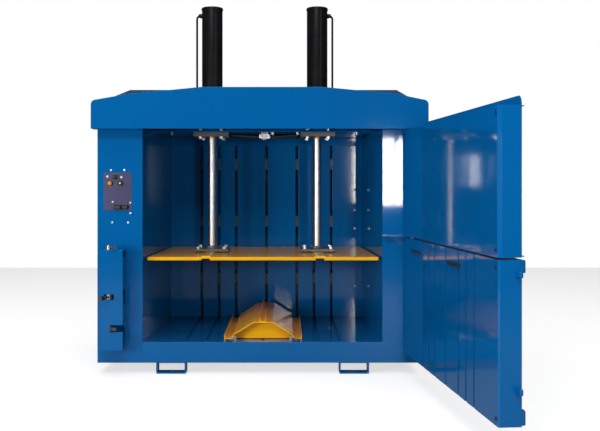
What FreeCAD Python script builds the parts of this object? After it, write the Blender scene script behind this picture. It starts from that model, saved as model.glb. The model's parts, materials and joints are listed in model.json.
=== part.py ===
import FreeCAD, Part
import math
import os

# A down-stroke recycling baler: a press platen on two hydraulic cylinders inside a steel chamber,
# an upper feed door and a lower bale door on one hinge line, and a tilting bale ejector.
# X = 0 is the chamber's centre line, Y = 0 the middle of the body's depth, Z = 0 the floor.
# The doors are stored open. All sizes are in millimetres.

V = FreeCAD.Vector

# Overall body
OPENING_HALF = 600.0        # half the chamber's width at the doors
LEFT_WIDTH, RIGHT_WIDTH = 226.0, 186.0
BODY_LEFT, BODY_RIGHT = -OPENING_HALF - LEFT_WIDTH, OPENING_HALF + RIGHT_WIDTH
BODY_DEPTH = 950.0
FRONT, REAR = -BODY_DEPTH / 2, BODY_DEPTH / 2
UNDERSIDE = 56.0            # the base stands this high on its fork loops
FLOOR_TOP = 160.0
SILL_WALL, SILL_DEPTH = 5.0, 60.0
SHEET = 4.0
SECTION_WALL = 5.0
BEAM_BOTTOM = 1230.0        # underside of the two cross beams that carry the cylinders

# Press chamber: its side walls draw in towards the back
REAR_SPACE = 65.0           # from the back wall's face to the rear of the body
CHAMBER_DEPTH = BODY_DEPTH - REAR_SPACE
CHAMBER_TAPER = 31.5
CHAMBER_BACK_HALF = OPENING_HALF - CHAMBER_TAPER
WALL = 5.0
CHAMBER_BACK = FRONT + CHAMBER_DEPTH
LEFT_SEAM = -OPENING_HALF - 2.0
RIGHT_JAMB = OPENING_HALF
POST_GAP, POST_WIDTH, TIE_HEIGHT = 1.0, 90.0, 80.0
REAR_RETURN = 60.0

# Strap slots, shared by the back wall, the chamber floor and the lower door
STRAP_LINES = (-386.0, -283.0, -181.0, 0.0, 181.0, 283.0, 386.0)
STRAP_SLOT = 16.0
SLOT_TOP = BEAM_BOTTOM - 49.0
SLAT = 6.0
GROOVE_DEPTH = 10.0
FLOOR_PLATE = 16.0
REAR_MEMBER, BEARER_HALF = 70.0, 30.0
RIB_HEIGHTS, RIB_SIZE = (360.0, 700.0, 1040.0), (40.0, 60.0)

# Fork loops under the base
LOOP_X = 458.0
LOOP_WIDTH, LOOP_DEPTH, LOOP_STRAP = 150.0, 60.0, 8.0
LOOP_Y = BODY_DEPTH / 2 - LOOP_DEPTH / 2 - 4.0
ANCHOR_RADIUS = 7.0

# Cylinders and the beams that carry them
FIT = 0.06                  # radial clearance of running fits
ROD_RADIUS = 23.0
CYL_X, CYL_Y = 288.0, -25.0
TUBE_WALL = 8.5
TUBE_RADIUS = 56.5
TUBE_BORE = TUBE_RADIUS - TUBE_WALL
FLANGE_MARGIN, FLANGE_THICK = 36.5, 22.0
FLANGE_HALF = TUBE_RADIUS + FLANGE_MARGIN
BEAM_HEIGHT, BEAM_FLANGE, BEAM_WEB = 120.0, 46.0, 8.0
BEAM_GAP = TUBE_RADIUS + 5.5    # half the gap between the beams' webs
BOLT_RADIUS = 7.0
NUT_FLATS, NUT_HEIGHT = 22.0, 12.0
FLANGE_BOLT_X, FLANGE_BOLT_Y = 56.0, BEAM_GAP + BEAM_WEB + NUT_FLATS / math.sqrt(3) + 1.3
FLANGE_DEPTH_HALF = FLANGE_BOLT_Y + 21.0
GLAND_HEIGHT, GLAND_DROP, GLAND_RIM = 60.0, 8.0, 12.0
PISTON_HEIGHT = 40.0

# Press
PRESS_UP, PRESS_DOWN = 555.0, 18.0
PLATEN_TOP, PLATEN_THICK = 580.0, 18.0
PLATEN_SIDE_GAP = 10.5
PLATEN_FRONT_GAP, PLATEN_BACK_GAP = 65.0, 14.0
CHANNEL_X = 290.0
CHANNEL_WIDTH, CHANNEL_HEIGHT, CHANNEL_WALL = 46.0, 9.0, 6.0
FOOT_HALF, FOOT_THICK, FOOT_BOSS = 92.0, 14.0, 12.0
FOOT_RECESS = 4.0           # the rod stops this far above the foot's underside

# The tubes are as long as the stroke needs
END_ROOM = 8.0
TUBE_BOTTOM = BEAM_BOTTOM - FLANGE_THICK
PISTON_BOTTOM = TUBE_BOTTOM + GLAND_HEIGHT + PRESS_DOWN + END_ROOM
TUBE_TOP = PISTON_BOTTOM + PISTON_HEIGHT + PRESS_UP + END_ROOM + 7.0
CAP_LIP, CAP_HEIGHT = 2.5, 14.0
PIPE_RADIUS = 5.5
PIPE_OFFSET = 27.0          # from the tube's side to the pipe's centre
PIPE_BEND = 18.0
PIPE_DROP = 30.0            # the pipe enters the tube this far under the cap

# Bale ejector
EJECT_HALF, EJECT_TOP_HALF = 152.0, 48.0
EJECT_HEIGHT, EJECT_LEG, EJECT_SHEET = 94.0, 30.0, 5.0
EJECT_LIP, EJECT_LIP_UP = 46.0, 22.0
EJECT_FRONT, EJECT_LENGTH = FRONT + 40.0, CHAMBER_DEPTH - 115.0
EJECT_LIFT = 0.3            # the feet lie this far above the chamber floor
EJECT_PIN_Z, EJECT_PIN_RADIUS = 14.0, 6.0
EJECT_HEEL = 16.0           # bevel that lets the legs' front ends dip as the ejector tilts

# Doors
DOOR_GAP = 4.0
DOOR_THICK = 80.0
HINGE_X = BODY_RIGHT - DOOR_THICK / 2
HINGE_Y = FRONT - DOOR_GAP - DOOR_THICK / 2
PIN_RADIUS, BARREL_WALL = 12.0, 8.0
BARREL_RADIUS = PIN_RADIUS + BARREL_WALL
DOOR_OVERLAP = 63.0         # how far the doors reach past the opening on the latch side
DOOR_END, DOOR_LENGTH = 15.0, HINGE_X + OPENING_HALF + DOOR_OVERLAP
DOOR_SHEET, DOOR_SKIN = 4.0, 3.0
DOOR_CHAMFER = 12.0
DOOR_OPEN = 95.4
CANOPY_BOTTOM = BEAM_BOTTOM - 8.0
LOWER_BOTTOM, LOWER_TOP = FLOOR_TOP - 44.0, 686.0
UPPER_BOTTOM, UPPER_TOP = LOWER_TOP + 8.0, CANOPY_BOTTOM - 7.0
LIP_TOP, LIP_START, LIP_RADIUS = CANOPY_BOTTOM + 28.0, DOOR_THICK, 30.0
BEAM_PROUD, BEAM_START = 16.0, 60.0
DOOR_BEAMS = ((LOWER_BOTTOM + 4.0, LOWER_BOTTOM + 54.0), (LOWER_TOP - 45.0, LOWER_TOP - 1.0))
HINGE_LEAF, HINGE_FOOT = 5.0, 8.0
SCREW_INSET = 26.0

# Canopy
CANOPY_DEPTH = DOOR_THICK
CANOPY_FRONT = FRONT - CANOPY_DEPTH
CANOPY_LEFT, CANOPY_RIGHT = BODY_LEFT - 17.0, BODY_RIGHT + 32.0
CANOPY_SIDE_TOP, CANOPY_KNEE_TOP, CANOPY_ARCH_TOP = (CANOPY_BOTTOM + h for h in (143.0, 170.0, 205.0))
CANOPY_KNEE_X, CANOPY_FLAT_X = OPENING_HALF + 63.0, OPENING_HALF / 2
CANOPY_RADIUS = 25.0
CANOPY_SHEET, CANOPY_FLANGE = 3.0, 40.0
ROOF_FRONT = BEAM_BOTTOM + BEAM_HEIGHT
REAR_TOP = ROOF_FRONT + 168.0

# Door latch on the left column
LATCH_BOTTOM, LATCH_TOP = 135.0, 628.0
CATCH_REACH, CATCH_IN, CATCH_THICK = 43.0, DOOR_THICK - 20.0, 13.0
FINGER_LENGTH, FINGER_THICK, FINGER_WIDTH = 60.0, 14.0, 12.0
SHAFT_RADIUS = 10.0
LATCH_RIGHT = BODY_LEFT + 145.0
LATCH_LEFT = LATCH_RIGHT - 114.0
SHAFT_X = LATCH_RIGHT - 71.0
SHAFT_Y = FRONT - DOOR_GAP - CATCH_IN - CATCH_THICK - FINGER_WIDTH / 2 - 5.0
LATCH_DEPTH = FRONT - SHAFT_Y + 20.0
FINGER_HEIGHTS = (236.0, LATCH_TOP + 4.0)
LATCH_TURN = 50.0           # from clear of the catches to across them
LEVER_Z, LEVER_LENGTH, LEVER_THICK = 397.0, 90.0, 14.0
LEVER_ANGLE = 255.0
LEVER_SLOT = (SHAFT_X - 20.0, SHAFT_X + 28.0, LEVER_Z - 13.0, LEVER_Z + 13.0)
SIDE_WINDOWS = ((155.0, 226.0), (355.0, 430.0), (590.0, 618.0))

# Control plate
PANEL_LEFT, PANEL_RIGHT = BODY_LEFT + 31.0, BODY_LEFT + 172.0
PANEL_BOTTOM, PANEL_TOP = 818.0, 1006.0
PANEL_THICK = 2.5
BUTTON_RADIUS, BUTTON_PLAY = 11.0, 0.3
BEZEL_RADIUS, BEZEL_DEPTH = 15.0, 5.0
STOP_BUTTON = (PANEL_LEFT + 32.0, PANEL_TOP - 53.0)
START_BUTTON = (PANEL_LEFT + 84.0, PANEL_TOP - 52.0)
SELECTOR = (PANEL_LEFT + 58.0, PANEL_TOP - 21.0)
LAMPS = ((PANEL_LEFT + 20.0, PANEL_TOP - 19.0), (PANEL_LEFT + 90.0, PANEL_TOP - 22.0))
PLATE_SCREWS = ((PANEL_LEFT + 47.0, 860.0), (PANEL_LEFT + 134.0, 856.0))
FACE_SCREWS = ((PANEL_LEFT + 37.0, PANEL_TOP + 13.0), (PANEL_LEFT + 104.0, PANEL_TOP + 13.0),
               (PANEL_LEFT + 134.0, 804.0), (PANEL_LEFT + 44.0, 757.0), (PANEL_LEFT + 123.0, 757.0))
SWITCH_BOTTOM, SWITCH_HEIGHT = 822.0, 24.0

# Hydraulic power pack in the roof space behind the beams
PACK_FRONT = CYL_Y + BEAM_GAP + BEAM_WEB + BEAM_FLANGE
PACK_CENTRE_Y = (PACK_FRONT + 30.0 + REAR) / 2
TANK_LEFT, TANK_RIGHT, TANK_HEIGHT, TANK_WALL = -640.0, -250.0, 186.0, 3.0
MOTOR_X, MOTOR_LENGTH, MOTOR_RADIUS = 90.0, 200.0, 62.0
MOTOR_Z = BEAM_BOTTOM + SHEET + MOTOR_RADIUS + 10.0


def box(x0, x1, y0, y1, z0, z1):
    return Part.makeBox(x1 - x0, y1 - y0, z1 - z0, V(x0, y0, z0))


def rod(x, y, z, radius, length, axis=(0, 0, 1)):
    return Part.makeCylinder(radius, length, V(x, y, z), V(*axis))


def ring(x, y, z, outer, inner, length, axis=(0, 0, 1)):
    return rod(x, y, z, outer, length, axis).cut(rod(x, y, z, inner, length, axis))


def section(x0, x1, y0, y1, z0, z1, along):
    """A rectangular hollow section, open at both ends along the named axis."""
    walls = {axis: 0 if axis == along else SECTION_WALL for axis in "xyz"}
    inner = box(x0 + walls["x"], x1 - walls["x"], y0 + walls["y"], y1 - walls["y"],
                z0 + walls["z"], z1 - walls["z"])
    return box(x0, x1, y0, y1, z0, z1).cut(inner)


def plan(points, z0, z1):
    """A prism with the given plan outline (x, y) between two heights."""
    corners = [V(x, y, z0) for x, y in points]
    return Part.Face(Part.makePolygon(corners + corners[:1])).extrude(V(0, 0, z1 - z0))


def front(points, y0, y1):
    """A prism with the given front outline (x, z) between two depths."""
    corners = [V(x, y0, z) for x, z in points]
    return Part.Face(Part.makePolygon(corners + corners[:1])).extrude(V(0, y1 - y0, 0))


def side(points, x0, x1):
    """A prism with the given side outline (y, z) between two widths."""
    corners = [V(x0, y, z) for y, z in points]
    return Part.Face(Part.makePolygon(corners + corners[:1])).extrude(V(x1 - x0, 0, 0))


def hexagon(x, y, z, flats, height, axis=(0, 0, 1)):
    """A hexagonal head or nut standing on the point, along the axis."""
    radius = flats / math.sqrt(3)
    corners = [V(radius * math.cos(math.radians(60 * k)), radius * math.sin(math.radians(60 * k)), 0)
               for k in range(6)]
    solid = Part.Face(Part.makePolygon(corners + corners[:1])).extrude(V(0, 0, height))
    solid.Placement = FreeCAD.Placement(V(x, y, z), FreeCAD.Rotation(V(0, 0, 1), V(*axis)))
    return solid


def joined(solids):
    result = solids[0]
    for solid in solids[1:]:
        result = result.fuse(solid)
    return result.removeSplitter()


def save(name, *solids):
    shape = solids[0] if len(solids) == 1 else Part.makeCompound(solids)
    shape.exportStep("parts/" + name + ".step")


def chamber_half(y):
    """Half the chamber's inner width at a depth."""
    return OPENING_HALF - (OPENING_HALF - CHAMBER_BACK_HALF) * (y - FRONT) / CHAMBER_DEPTH


# ---------------------------------------------------------------- base

def front_sill():
    x0, x1 = LEFT_SEAM, BODY_RIGHT - SHEET
    web = box(x0, x1, FRONT, FRONT + SILL_WALL, UNDERSIDE, FLOOR_TOP)
    top = box(x0, x1, FRONT, FRONT + SILL_DEPTH, FLOOR_TOP - SILL_WALL, FLOOR_TOP)
    bottom = box(x0, x1, FRONT, FRONT + SILL_DEPTH, UNDERSIDE, UNDERSIDE + SILL_WALL)
    return joined([web, top, bottom])


def base_frame():
    """Two side members, a rear member and three bearers under the chamber floor."""
    top = FLOOR_TOP - FLOOR_PLATE
    front_edge = FRONT + SILL_DEPTH
    rear_face = REAR - REAR_MEMBER
    left = section(BODY_LEFT + SHEET, LEFT_SEAM, FRONT + SHEET, REAR, UNDERSIDE, top, "y")
    right = section(RIGHT_JAMB + 12, BODY_RIGHT - SHEET, front_edge, REAR, UNDERSIDE, top, "y")
    rear = section(LEFT_SEAM, RIGHT_JAMB + 12, rear_face, REAR, UNDERSIDE, top, "x")
    bearers = [section(x - BEARER_HALF, x + BEARER_HALF, front_edge, rear_face, UNDERSIDE, top, "y")
               for x in (-LOOP_X, 0, LOOP_X)]
    return [left, right, rear] + bearers


def floor_plate():
    """The chamber floor: a base sheet and facing strips that leave a groove on each strap line."""
    y0, y1 = FRONT + SILL_DEPTH, REAR
    edge = OPENING_HALF + WALL
    sheet = box(-edge, edge, y0, y1, FLOOR_TOP - FLOOR_PLATE, FLOOR_TOP - GROOVE_DEPTH)
    strips = [box(x0, x1, y0, y1, FLOOR_TOP - GROOVE_DEPTH, FLOOR_TOP) for x0, x1 in strap_edges(-edge, edge)]
    return [sheet] + strips


def fork_loop(x, y):
    """A strap bent to a U, welded up to the base, with an anchor hole in its foot."""
    outer = box(x - LOOP_WIDTH / 2, x + LOOP_WIDTH / 2, y - LOOP_DEPTH / 2, y + LOOP_DEPTH / 2, 0, UNDERSIDE)
    inner = box(x - LOOP_WIDTH / 2 + LOOP_STRAP, x + LOOP_WIDTH / 2 - LOOP_STRAP,
                y - LOOP_DEPTH / 2, y + LOOP_DEPTH / 2, LOOP_STRAP, UNDERSIDE)
    loop = outer.cut(inner)
    bends = [e for e in loop.Edges if e.BoundBox.ZMax < 0.1 and e.BoundBox.YLength > LOOP_DEPTH - 1]
    return loop.makeFillet(LOOP_STRAP - 1, bends).cut(rod(x, y, 0, ANCHOR_RADIUS, LOOP_STRAP))


# ---------------------------------------------------------------- chamber

def chamber_wall(sign):
    front_half, back_half = OPENING_HALF, CHAMBER_BACK_HALF
    points = [(sign * front_half, FRONT + SHEET), (sign * back_half, CHAMBER_BACK),
              (sign * (back_half + WALL), CHAMBER_BACK), (sign * (front_half + WALL), FRONT + SHEET)]
    return plan(points, FLOOR_TOP, BEAM_BOTTOM)


def strap_edges(low, high):
    """The stretches of plate between low and high that the strap slots leave."""
    cuts = [low]
    for x in STRAP_LINES:
        cuts += [x - STRAP_SLOT / 2, x + STRAP_SLOT / 2]
    cuts.append(high)
    return list(zip(cuts[::2], cuts[1::2]))


def back_slats():
    edge = CHAMBER_BACK_HALF + WALL
    return [box(x0, x1, CHAMBER_BACK, CHAMBER_BACK + SLAT, FLOOR_TOP, SLOT_TOP)
            for x0, x1 in strap_edges(-edge, edge)]


def back_rails():
    """Ribs behind the slats and the closed plate above the strap slots."""
    y0 = CHAMBER_BACK + SLAT
    edge = CHAMBER_BACK_HALF + WALL
    deep, high = RIB_SIZE
    ribs = [section(-edge, edge, y0, y0 + deep, z, z + high, "x") for z in RIB_HEIGHTS]
    head = section(-edge, edge, CHAMBER_BACK, y0 + deep, SLOT_TOP, BEAM_BOTTOM, "x")
    return ribs + [head]


# ---------------------------------------------------------------- body shell

def side_top(y):
    """Height of the cabinet's sloping top edge at a depth."""
    return ROOF_FRONT + (REAR_TOP - ROOF_FRONT) * (y - FRONT) / BODY_DEPTH


def column(outer, inner, sign, lower_front):
    """A folded side: a front face, the outer side and a rear return, in one sheet."""
    low_x, high_x = min(outer, inner), max(outer, inner)
    face = box(low_x, high_x, FRONT, FRONT + SHEET, lower_front, ROOF_FRONT)
    side_x = (outer, outer + sign * SHEET)
    panel = side([(FRONT, UNDERSIDE), (REAR, UNDERSIDE), (REAR, side_top(REAR)), (FRONT, ROOF_FRONT)],
                 min(side_x), max(side_x))
    back_x = (outer, outer + sign * REAR_RETURN)
    back = box(min(back_x), max(back_x), REAR - SHEET, REAR, FLOOR_TOP, BEAM_BOTTOM)
    return joined([face, panel, back])


def post_span(sign):
    """The width between X values that the posts and ties beside the chamber fill."""
    near = OPENING_HALF + WALL + POST_GAP
    return sorted((sign * near, sign * (near + POST_WIDTH)))


def rear_posts():
    """Box posts at the back corners, between the side panels and the chamber."""
    posts = []
    edge = CHAMBER_BACK_HALF + WALL
    for x0, x1 in ((BODY_LEFT + REAR_RETURN, -edge), (edge, BODY_RIGHT - REAR_RETURN)):
        posts.append(section(x0, x1, CHAMBER_BACK, REAR, FLOOR_TOP, BEAM_BOTTOM, "z"))
    return posts


def front_posts():
    """Box posts behind the front faces, either side of the chamber."""
    return [section(*post_span(sign), FRONT + SHEET, FRONT + SILL_DEPTH, FLOOR_TOP, BEAM_BOTTOM, "z")
            for sign in (-1, 1)]


def rear_cover():
    """The plate that closes the back, from the floor to the roof, with tabs that stop the floor grooves."""
    edge = CHAMBER_BACK_HALF + WALL
    low = box(-edge, edge, REAR - SHEET, REAR, FLOOR_TOP, BEAM_BOTTOM)
    tabs = [box(x - STRAP_SLOT / 2, x + STRAP_SLOT / 2, REAR - SHEET, REAR, FLOOR_TOP - GROOVE_DEPTH, FLOOR_TOP)
            for x in STRAP_LINES]
    outline = [(BODY_LEFT + SHEET, BEAM_BOTTOM), (BODY_RIGHT - SHEET, BEAM_BOTTOM),
               (BODY_RIGHT - SHEET, side_top(REAR) - SHEET), (BODY_LEFT + SHEET, side_top(REAR) - SHEET)]
    return joined([low, front(outline, REAR - SHEET, REAR)] + tabs)


def roof_panel():
    """A sheet that slopes up to the rear, cut round the tubes and their pipes."""
    low, high = ROOF_FRONT, side_top(REAR)
    panel = side([(FRONT, low), (REAR, high), (REAR, high + SHEET), (FRONT, low + SHEET)],
                 BODY_LEFT, BODY_RIGHT)
    for sign in (-1, 1):
        x = sign * CYL_X
        panel = panel.cut(rod(x, CYL_Y, low, TUBE_RADIUS + 3, high - low + 10))
        pipe_x = x + sign * (TUBE_RADIUS + PIPE_OFFSET)
        panel = panel.cut(rod(pipe_x, CYL_Y, low, PIPE_RADIUS + 3, high - low + 10))
    return panel


def canopy_outline(inset, radius, y):
    """The canopy's arched outline at a depth, pulled in at the sides and the top."""
    left, right = CANOPY_LEFT + inset, CANOPY_RIGHT - inset
    bottom = CANOPY_BOTTOM
    side_z = CANOPY_SIDE_TOP - inset
    arc = radius * (1 - math.sqrt(0.5))
    knee = CANOPY_KNEE_TOP - inset
    arch = CANOPY_ARCH_TOP - inset

    def p(x, z):
        return V(x, y, z)

    edges = [Part.makeLine(p(left, bottom), p(left, side_z - radius)),
             Part.Arc(p(left, side_z - radius), p(left + arc, side_z - arc),
                      p(left + radius, side_z)).toShape(),
             Part.makeLine(p(left + radius, side_z), p(-CANOPY_KNEE_X, knee)),
             Part.makeLine(p(-CANOPY_KNEE_X, knee), p(-CANOPY_FLAT_X, arch)),
             Part.makeLine(p(-CANOPY_FLAT_X, arch), p(CANOPY_FLAT_X, arch)),
             Part.makeLine(p(CANOPY_FLAT_X, arch), p(CANOPY_KNEE_X, knee)),
             Part.makeLine(p(CANOPY_KNEE_X, knee), p(right - radius, side_z)),
             Part.Arc(p(right - radius, side_z), p(right - arc, side_z - arc),
                      p(right, side_z - radius)).toShape(),
             Part.makeLine(p(right, side_z - radius), p(right, bottom)),
             Part.makeLine(p(right, bottom), p(left, bottom))]
    return Part.Wire(edges)


def canopy():
    """A hood of folded sheet: the arched face, a rim, and a flange that lies on the body's face."""
    t = CANOPY_SHEET
    solid = Part.Face(canopy_outline(0, CANOPY_RADIUS, CANOPY_FRONT)).extrude(V(0, CANOPY_DEPTH, 0))
    inside = canopy_outline(t, CANOPY_RADIUS - t, CANOPY_FRONT + t)
    hollow = Part.Face(inside).extrude(V(0, CANOPY_DEPTH - 2 * t, 0))
    mouth = Part.Face(canopy_outline(CANOPY_FLANGE, t, FRONT - t)).extrude(V(0, t, 0))
    return solid.cut(hollow).cut(mouth)


# ---------------------------------------------------------------- cylinders and beams

def cross_beams():
    """Two channel beams with their webs towards the tubes, on the front and rear posts' tie bars."""
    x0, x1 = BODY_LEFT + SHEET, BODY_RIGHT - SHEET
    beams = []
    for sign in (-1, 1):
        web_y = sorted((CYL_Y + sign * BEAM_GAP, CYL_Y + sign * (BEAM_GAP + BEAM_WEB)))
        out_y = sorted((CYL_Y + sign * BEAM_GAP, CYL_Y + sign * (BEAM_GAP + BEAM_WEB + BEAM_FLANGE)))
        web = box(x0, x1, web_y[0], web_y[1], BEAM_BOTTOM, BEAM_BOTTOM + BEAM_HEIGHT)
        low = box(x0, x1, out_y[0], out_y[1], BEAM_BOTTOM, BEAM_BOTTOM + BEAM_WEB)
        top = BEAM_BOTTOM + BEAM_HEIGHT
        high = box(x0, x1, out_y[0], out_y[1], top - BEAM_WEB, top)
        beam = joined([web, low, high])
        for x, y in flange_holes():
            beam = beam.cut(rod(x, y, BEAM_BOTTOM - 1, BOLT_RADIUS, BEAM_WEB + 2))
        beams.append(beam)
    return beams


def side_ties():
    """A box rail on each side that joins the front post to the rear post under the beams' ends."""
    return [section(*post_span(sign), FRONT + SILL_DEPTH, CHAMBER_BACK, BEAM_BOTTOM - TIE_HEIGHT,
                    BEAM_BOTTOM, "y") for sign in (-1, 1)]


def flange_holes():
    return [(sx * CYL_X + bx * FLANGE_BOLT_X, CYL_Y + by * FLANGE_BOLT_Y)
            for sx in (-1, 1) for bx in (-1, 1) for by in (-1, 1)]


def cylinder_tubes():
    return [ring(sign * CYL_X, CYL_Y, TUBE_BOTTOM, TUBE_RADIUS, TUBE_BORE, TUBE_TOP - TUBE_BOTTOM)
            for sign in (-1, 1)]


def cylinder_caps():
    caps = []
    for sign in (-1, 1):
        cap = rod(sign * CYL_X, CYL_Y, TUBE_TOP, TUBE_RADIUS + CAP_LIP, CAP_HEIGHT)
        rim = [e for e in cap.Edges if e.BoundBox.ZMin > TUBE_TOP + CAP_HEIGHT - 0.1]
        caps.append(cap.makeFillet(CAP_HEIGHT / 2, rim))
    return caps


def gland_heads():
    """Bronze-bushed heads that close the tubes round the rods."""
    heads = []
    for sign in (-1, 1):
        x = sign * CYL_X
        inside = rod(x, CYL_Y, TUBE_BOTTOM, TUBE_BORE, GLAND_HEIGHT)
        nose = rod(x, CYL_Y, TUBE_BOTTOM - GLAND_DROP, TUBE_BORE - GLAND_RIM, GLAND_DROP)
        bore = rod(x, CYL_Y, TUBE_BOTTOM - GLAND_DROP, ROD_RADIUS + FIT, GLAND_HEIGHT + GLAND_DROP)
        heads.append(joined([inside, nose]).cut(bore))
    return heads


def cylinder_flanges():
    flanges = []
    for sign in (-1, 1):
        x = sign * CYL_X
        plate = box(x - FLANGE_HALF, x + FLANGE_HALF, CYL_Y - FLANGE_DEPTH_HALF, CYL_Y + FLANGE_DEPTH_HALF,
                    BEAM_BOTTOM - FLANGE_THICK, BEAM_BOTTOM)
        plate = plate.cut(rod(x, CYL_Y, BEAM_BOTTOM - FLANGE_THICK, TUBE_RADIUS, FLANGE_THICK))
        for hx, hy in flange_holes():
            plate = plate.cut(rod(hx, hy, BEAM_BOTTOM - FLANGE_THICK - 1, BOLT_RADIUS, FLANGE_THICK + 2))
        flanges.append(plate)
    return flanges


def flange_bolts():
    bolts = []
    for x, y in flange_holes():
        head = hexagon(x, y, BEAM_BOTTOM - FLANGE_THICK - NUT_HEIGHT, NUT_FLATS, NUT_HEIGHT)
        shank = rod(x, y, BEAM_BOTTOM - FLANGE_THICK - 0.5, BOLT_RADIUS,
                    FLANGE_THICK + BEAM_WEB + NUT_HEIGHT + 4)
        nut = hexagon(x, y, BEAM_BOTTOM + BEAM_WEB, NUT_FLATS, NUT_HEIGHT)
        bolts.append(joined([head, shank, nut]))
    return bolts


def side_pipes():
    """Rigid pipes down the outer side of each tube, bent in to a port under the cap."""
    pipes = []
    port_z = TUBE_TOP - PIPE_DROP
    low_z = BEAM_BOTTOM + BEAM_HEIGHT - 60
    for sign in (-1, 1):
        tube_side = sign * (CYL_X + TUBE_RADIUS)
        x = tube_side + sign * PIPE_OFFSET
        start, corner = V(tube_side, CYL_Y, port_z), V(x, CYL_Y, port_z)
        bend = PIPE_BEND
        middle = V(corner.x - sign * bend * (1 - math.sqrt(0.5)), CYL_Y, port_z - bend * (1 - math.sqrt(0.5)))
        first, last = V(x - sign * bend, CYL_Y, port_z), V(x, CYL_Y, port_z - bend)
        path = Part.Wire([Part.makeLine(start, first), Part.Arc(first, middle, last).toShape(),
                          Part.makeLine(last, V(x, CYL_Y, low_z))])
        circle = Part.Wire(Part.Circle(start, V(sign, 0, 0), PIPE_RADIUS).toShape())
        pipe = path.makePipeShell([circle], True, False)
        pipes.append(pipe)
    return pipes


def cross_pipe():
    """The supply line between the two cylinders, just under the beams, with a fitting at each gland."""
    z = BEAM_BOTTOM - FLANGE_THICK / 2
    inner = CYL_X - FLANGE_HALF
    line = rod(-inner + 14, CYL_Y, z, 8, 2 * inner - 28, (1, 0, 0))
    ends = [hexagon(-inner, CYL_Y, z, 20, 14, (1, 0, 0)), hexagon(inner, CYL_Y, z, 20, 14, (-1, 0, 0))]
    return joined([line] + ends)


# ---------------------------------------------------------------- hydraulic power pack

def pack_shelf():
    """A tray between the rear beam and the rear cover that carries tank, motor and valves."""
    return box(-CHAMBER_BACK_HALF - 100, CHAMBER_BACK_HALF, PACK_FRONT, REAR - SHEET,
               BEAM_BOTTOM, BEAM_BOTTOM + SHEET)


def oil_tank():
    """A sealed sheet-metal tank with its filler neck."""
    t, z0 = TANK_WALL, BEAM_BOTTOM + SHEET
    y0, y1 = PACK_FRONT + 70, REAR - 40
    outer = box(TANK_LEFT, TANK_RIGHT, y0, y1, z0, z0 + TANK_HEIGHT)
    inner = box(TANK_LEFT + t, TANK_RIGHT - t, y0 + t, y1 - t, z0 + t, z0 + TANK_HEIGHT - t)
    filler = rod((TANK_LEFT + TANK_RIGHT) / 2, (y0 + y1) / 2, z0 + TANK_HEIGHT, 24, 16)
    return joined([outer.cut(inner), filler])


def pump_motor():
    body = rod(MOTOR_X, PACK_CENTRE_Y, MOTOR_Z, MOTOR_RADIUS, MOTOR_LENGTH, (1, 0, 0))
    foot = box(MOTOR_X + 30, MOTOR_X + MOTOR_LENGTH - 30, PACK_CENTRE_Y - 50, PACK_CENTRE_Y + 50,
               BEAM_BOTTOM + SHEET, MOTOR_Z - 20)
    return joined([body, foot])


def pump():
    """The gear pump on the motor's end."""
    neck = rod(MOTOR_X - 30, PACK_CENTRE_Y, MOTOR_Z, 34, 30, (1, 0, 0))
    case = box(MOTOR_X - 90, MOTOR_X - 30, PACK_CENTRE_Y - 35, PACK_CENTRE_Y + 35, MOTOR_Z - 35, MOTOR_Z + 35)
    return joined([neck, case])


def valve_block():
    x0, z0 = TANK_RIGHT + 50, BEAM_BOTTOM + SHEET
    return box(x0, x0 + 90, PACK_CENTRE_Y - 40, PACK_CENTRE_Y + 40, z0, z0 + 90)


# ---------------------------------------------------------------- press

def platen():
    """A thick plate that follows the chamber's taper, with two strap channels pressed up in it."""
    y0, y1 = FRONT + PLATEN_FRONT_GAP, CHAMBER_BACK - PLATEN_BACK_GAP
    w0, w1 = chamber_half(y0) - PLATEN_SIDE_GAP, chamber_half(y1) - PLATEN_SIDE_GAP
    low = PLATEN_TOP - PLATEN_THICK
    plate = plan([(-w0, y0), (w0, y0), (w1, y1), (-w1, y1)], low, PLATEN_TOP)
    for x in (-CHANNEL_X, CHANNEL_X):
        half = CHANNEL_WIDTH / 2
        hump = front([(x - half - CHANNEL_WALL, PLATEN_TOP), (x + half + CHANNEL_WALL, PLATEN_TOP),
                      (x + half, PLATEN_TOP + CHANNEL_WALL), (x - half, PLATEN_TOP + CHANNEL_WALL)], y0, y1)
        groove = box(x - half + 2, x + half - 2, y0, y1, low, low + CHANNEL_HEIGHT)
        plate = plate.fuse(hump).cut(groove)
    return plate.removeSplitter()


def rod_feet():
    """Square feet with a boss for the rod, bolted through the platen."""
    feet = []
    base = PLATEN_TOP + CHANNEL_WALL
    for sign in (-1, 1):
        x = sign * CYL_X
        foot = box(x - FOOT_HALF, x + FOOT_HALF, CYL_Y - FOOT_HALF, CYL_Y + FOOT_HALF,
                   base, base + FOOT_THICK)
        boss = rod(x, CYL_Y, base + FOOT_THICK, ROD_RADIUS + 11, FOOT_BOSS)
        socket = rod(x, CYL_Y, base + FOOT_RECESS, ROD_RADIUS, FOOT_THICK + FOOT_BOSS)
        feet.append(joined([foot, boss]).cut(socket))
    return feet


def foot_bolts():
    base = PLATEN_TOP + CHANNEL_WALL + FOOT_THICK
    offset = FOOT_HALF - 22
    return [hexagon(s * CYL_X + bx * offset, CYL_Y + by * offset, base, NUT_FLATS, NUT_HEIGHT)
            for s in (-1, 1) for bx in (-1, 1) for by in (-1, 1)]


def piston_rods():
    base = PLATEN_TOP + CHANNEL_WALL + FOOT_RECESS
    return [rod(sign * CYL_X, CYL_Y, base, ROD_RADIUS, PISTON_BOTTOM + PISTON_HEIGHT - base)
            for sign in (-1, 1)]


def pistons():
    return [ring(sign * CYL_X, CYL_Y, PISTON_BOTTOM, TUBE_BORE - FIT, ROD_RADIUS, PISTON_HEIGHT)
            for sign in (-1, 1)]


# ---------------------------------------------------------------- bale ejector

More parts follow.
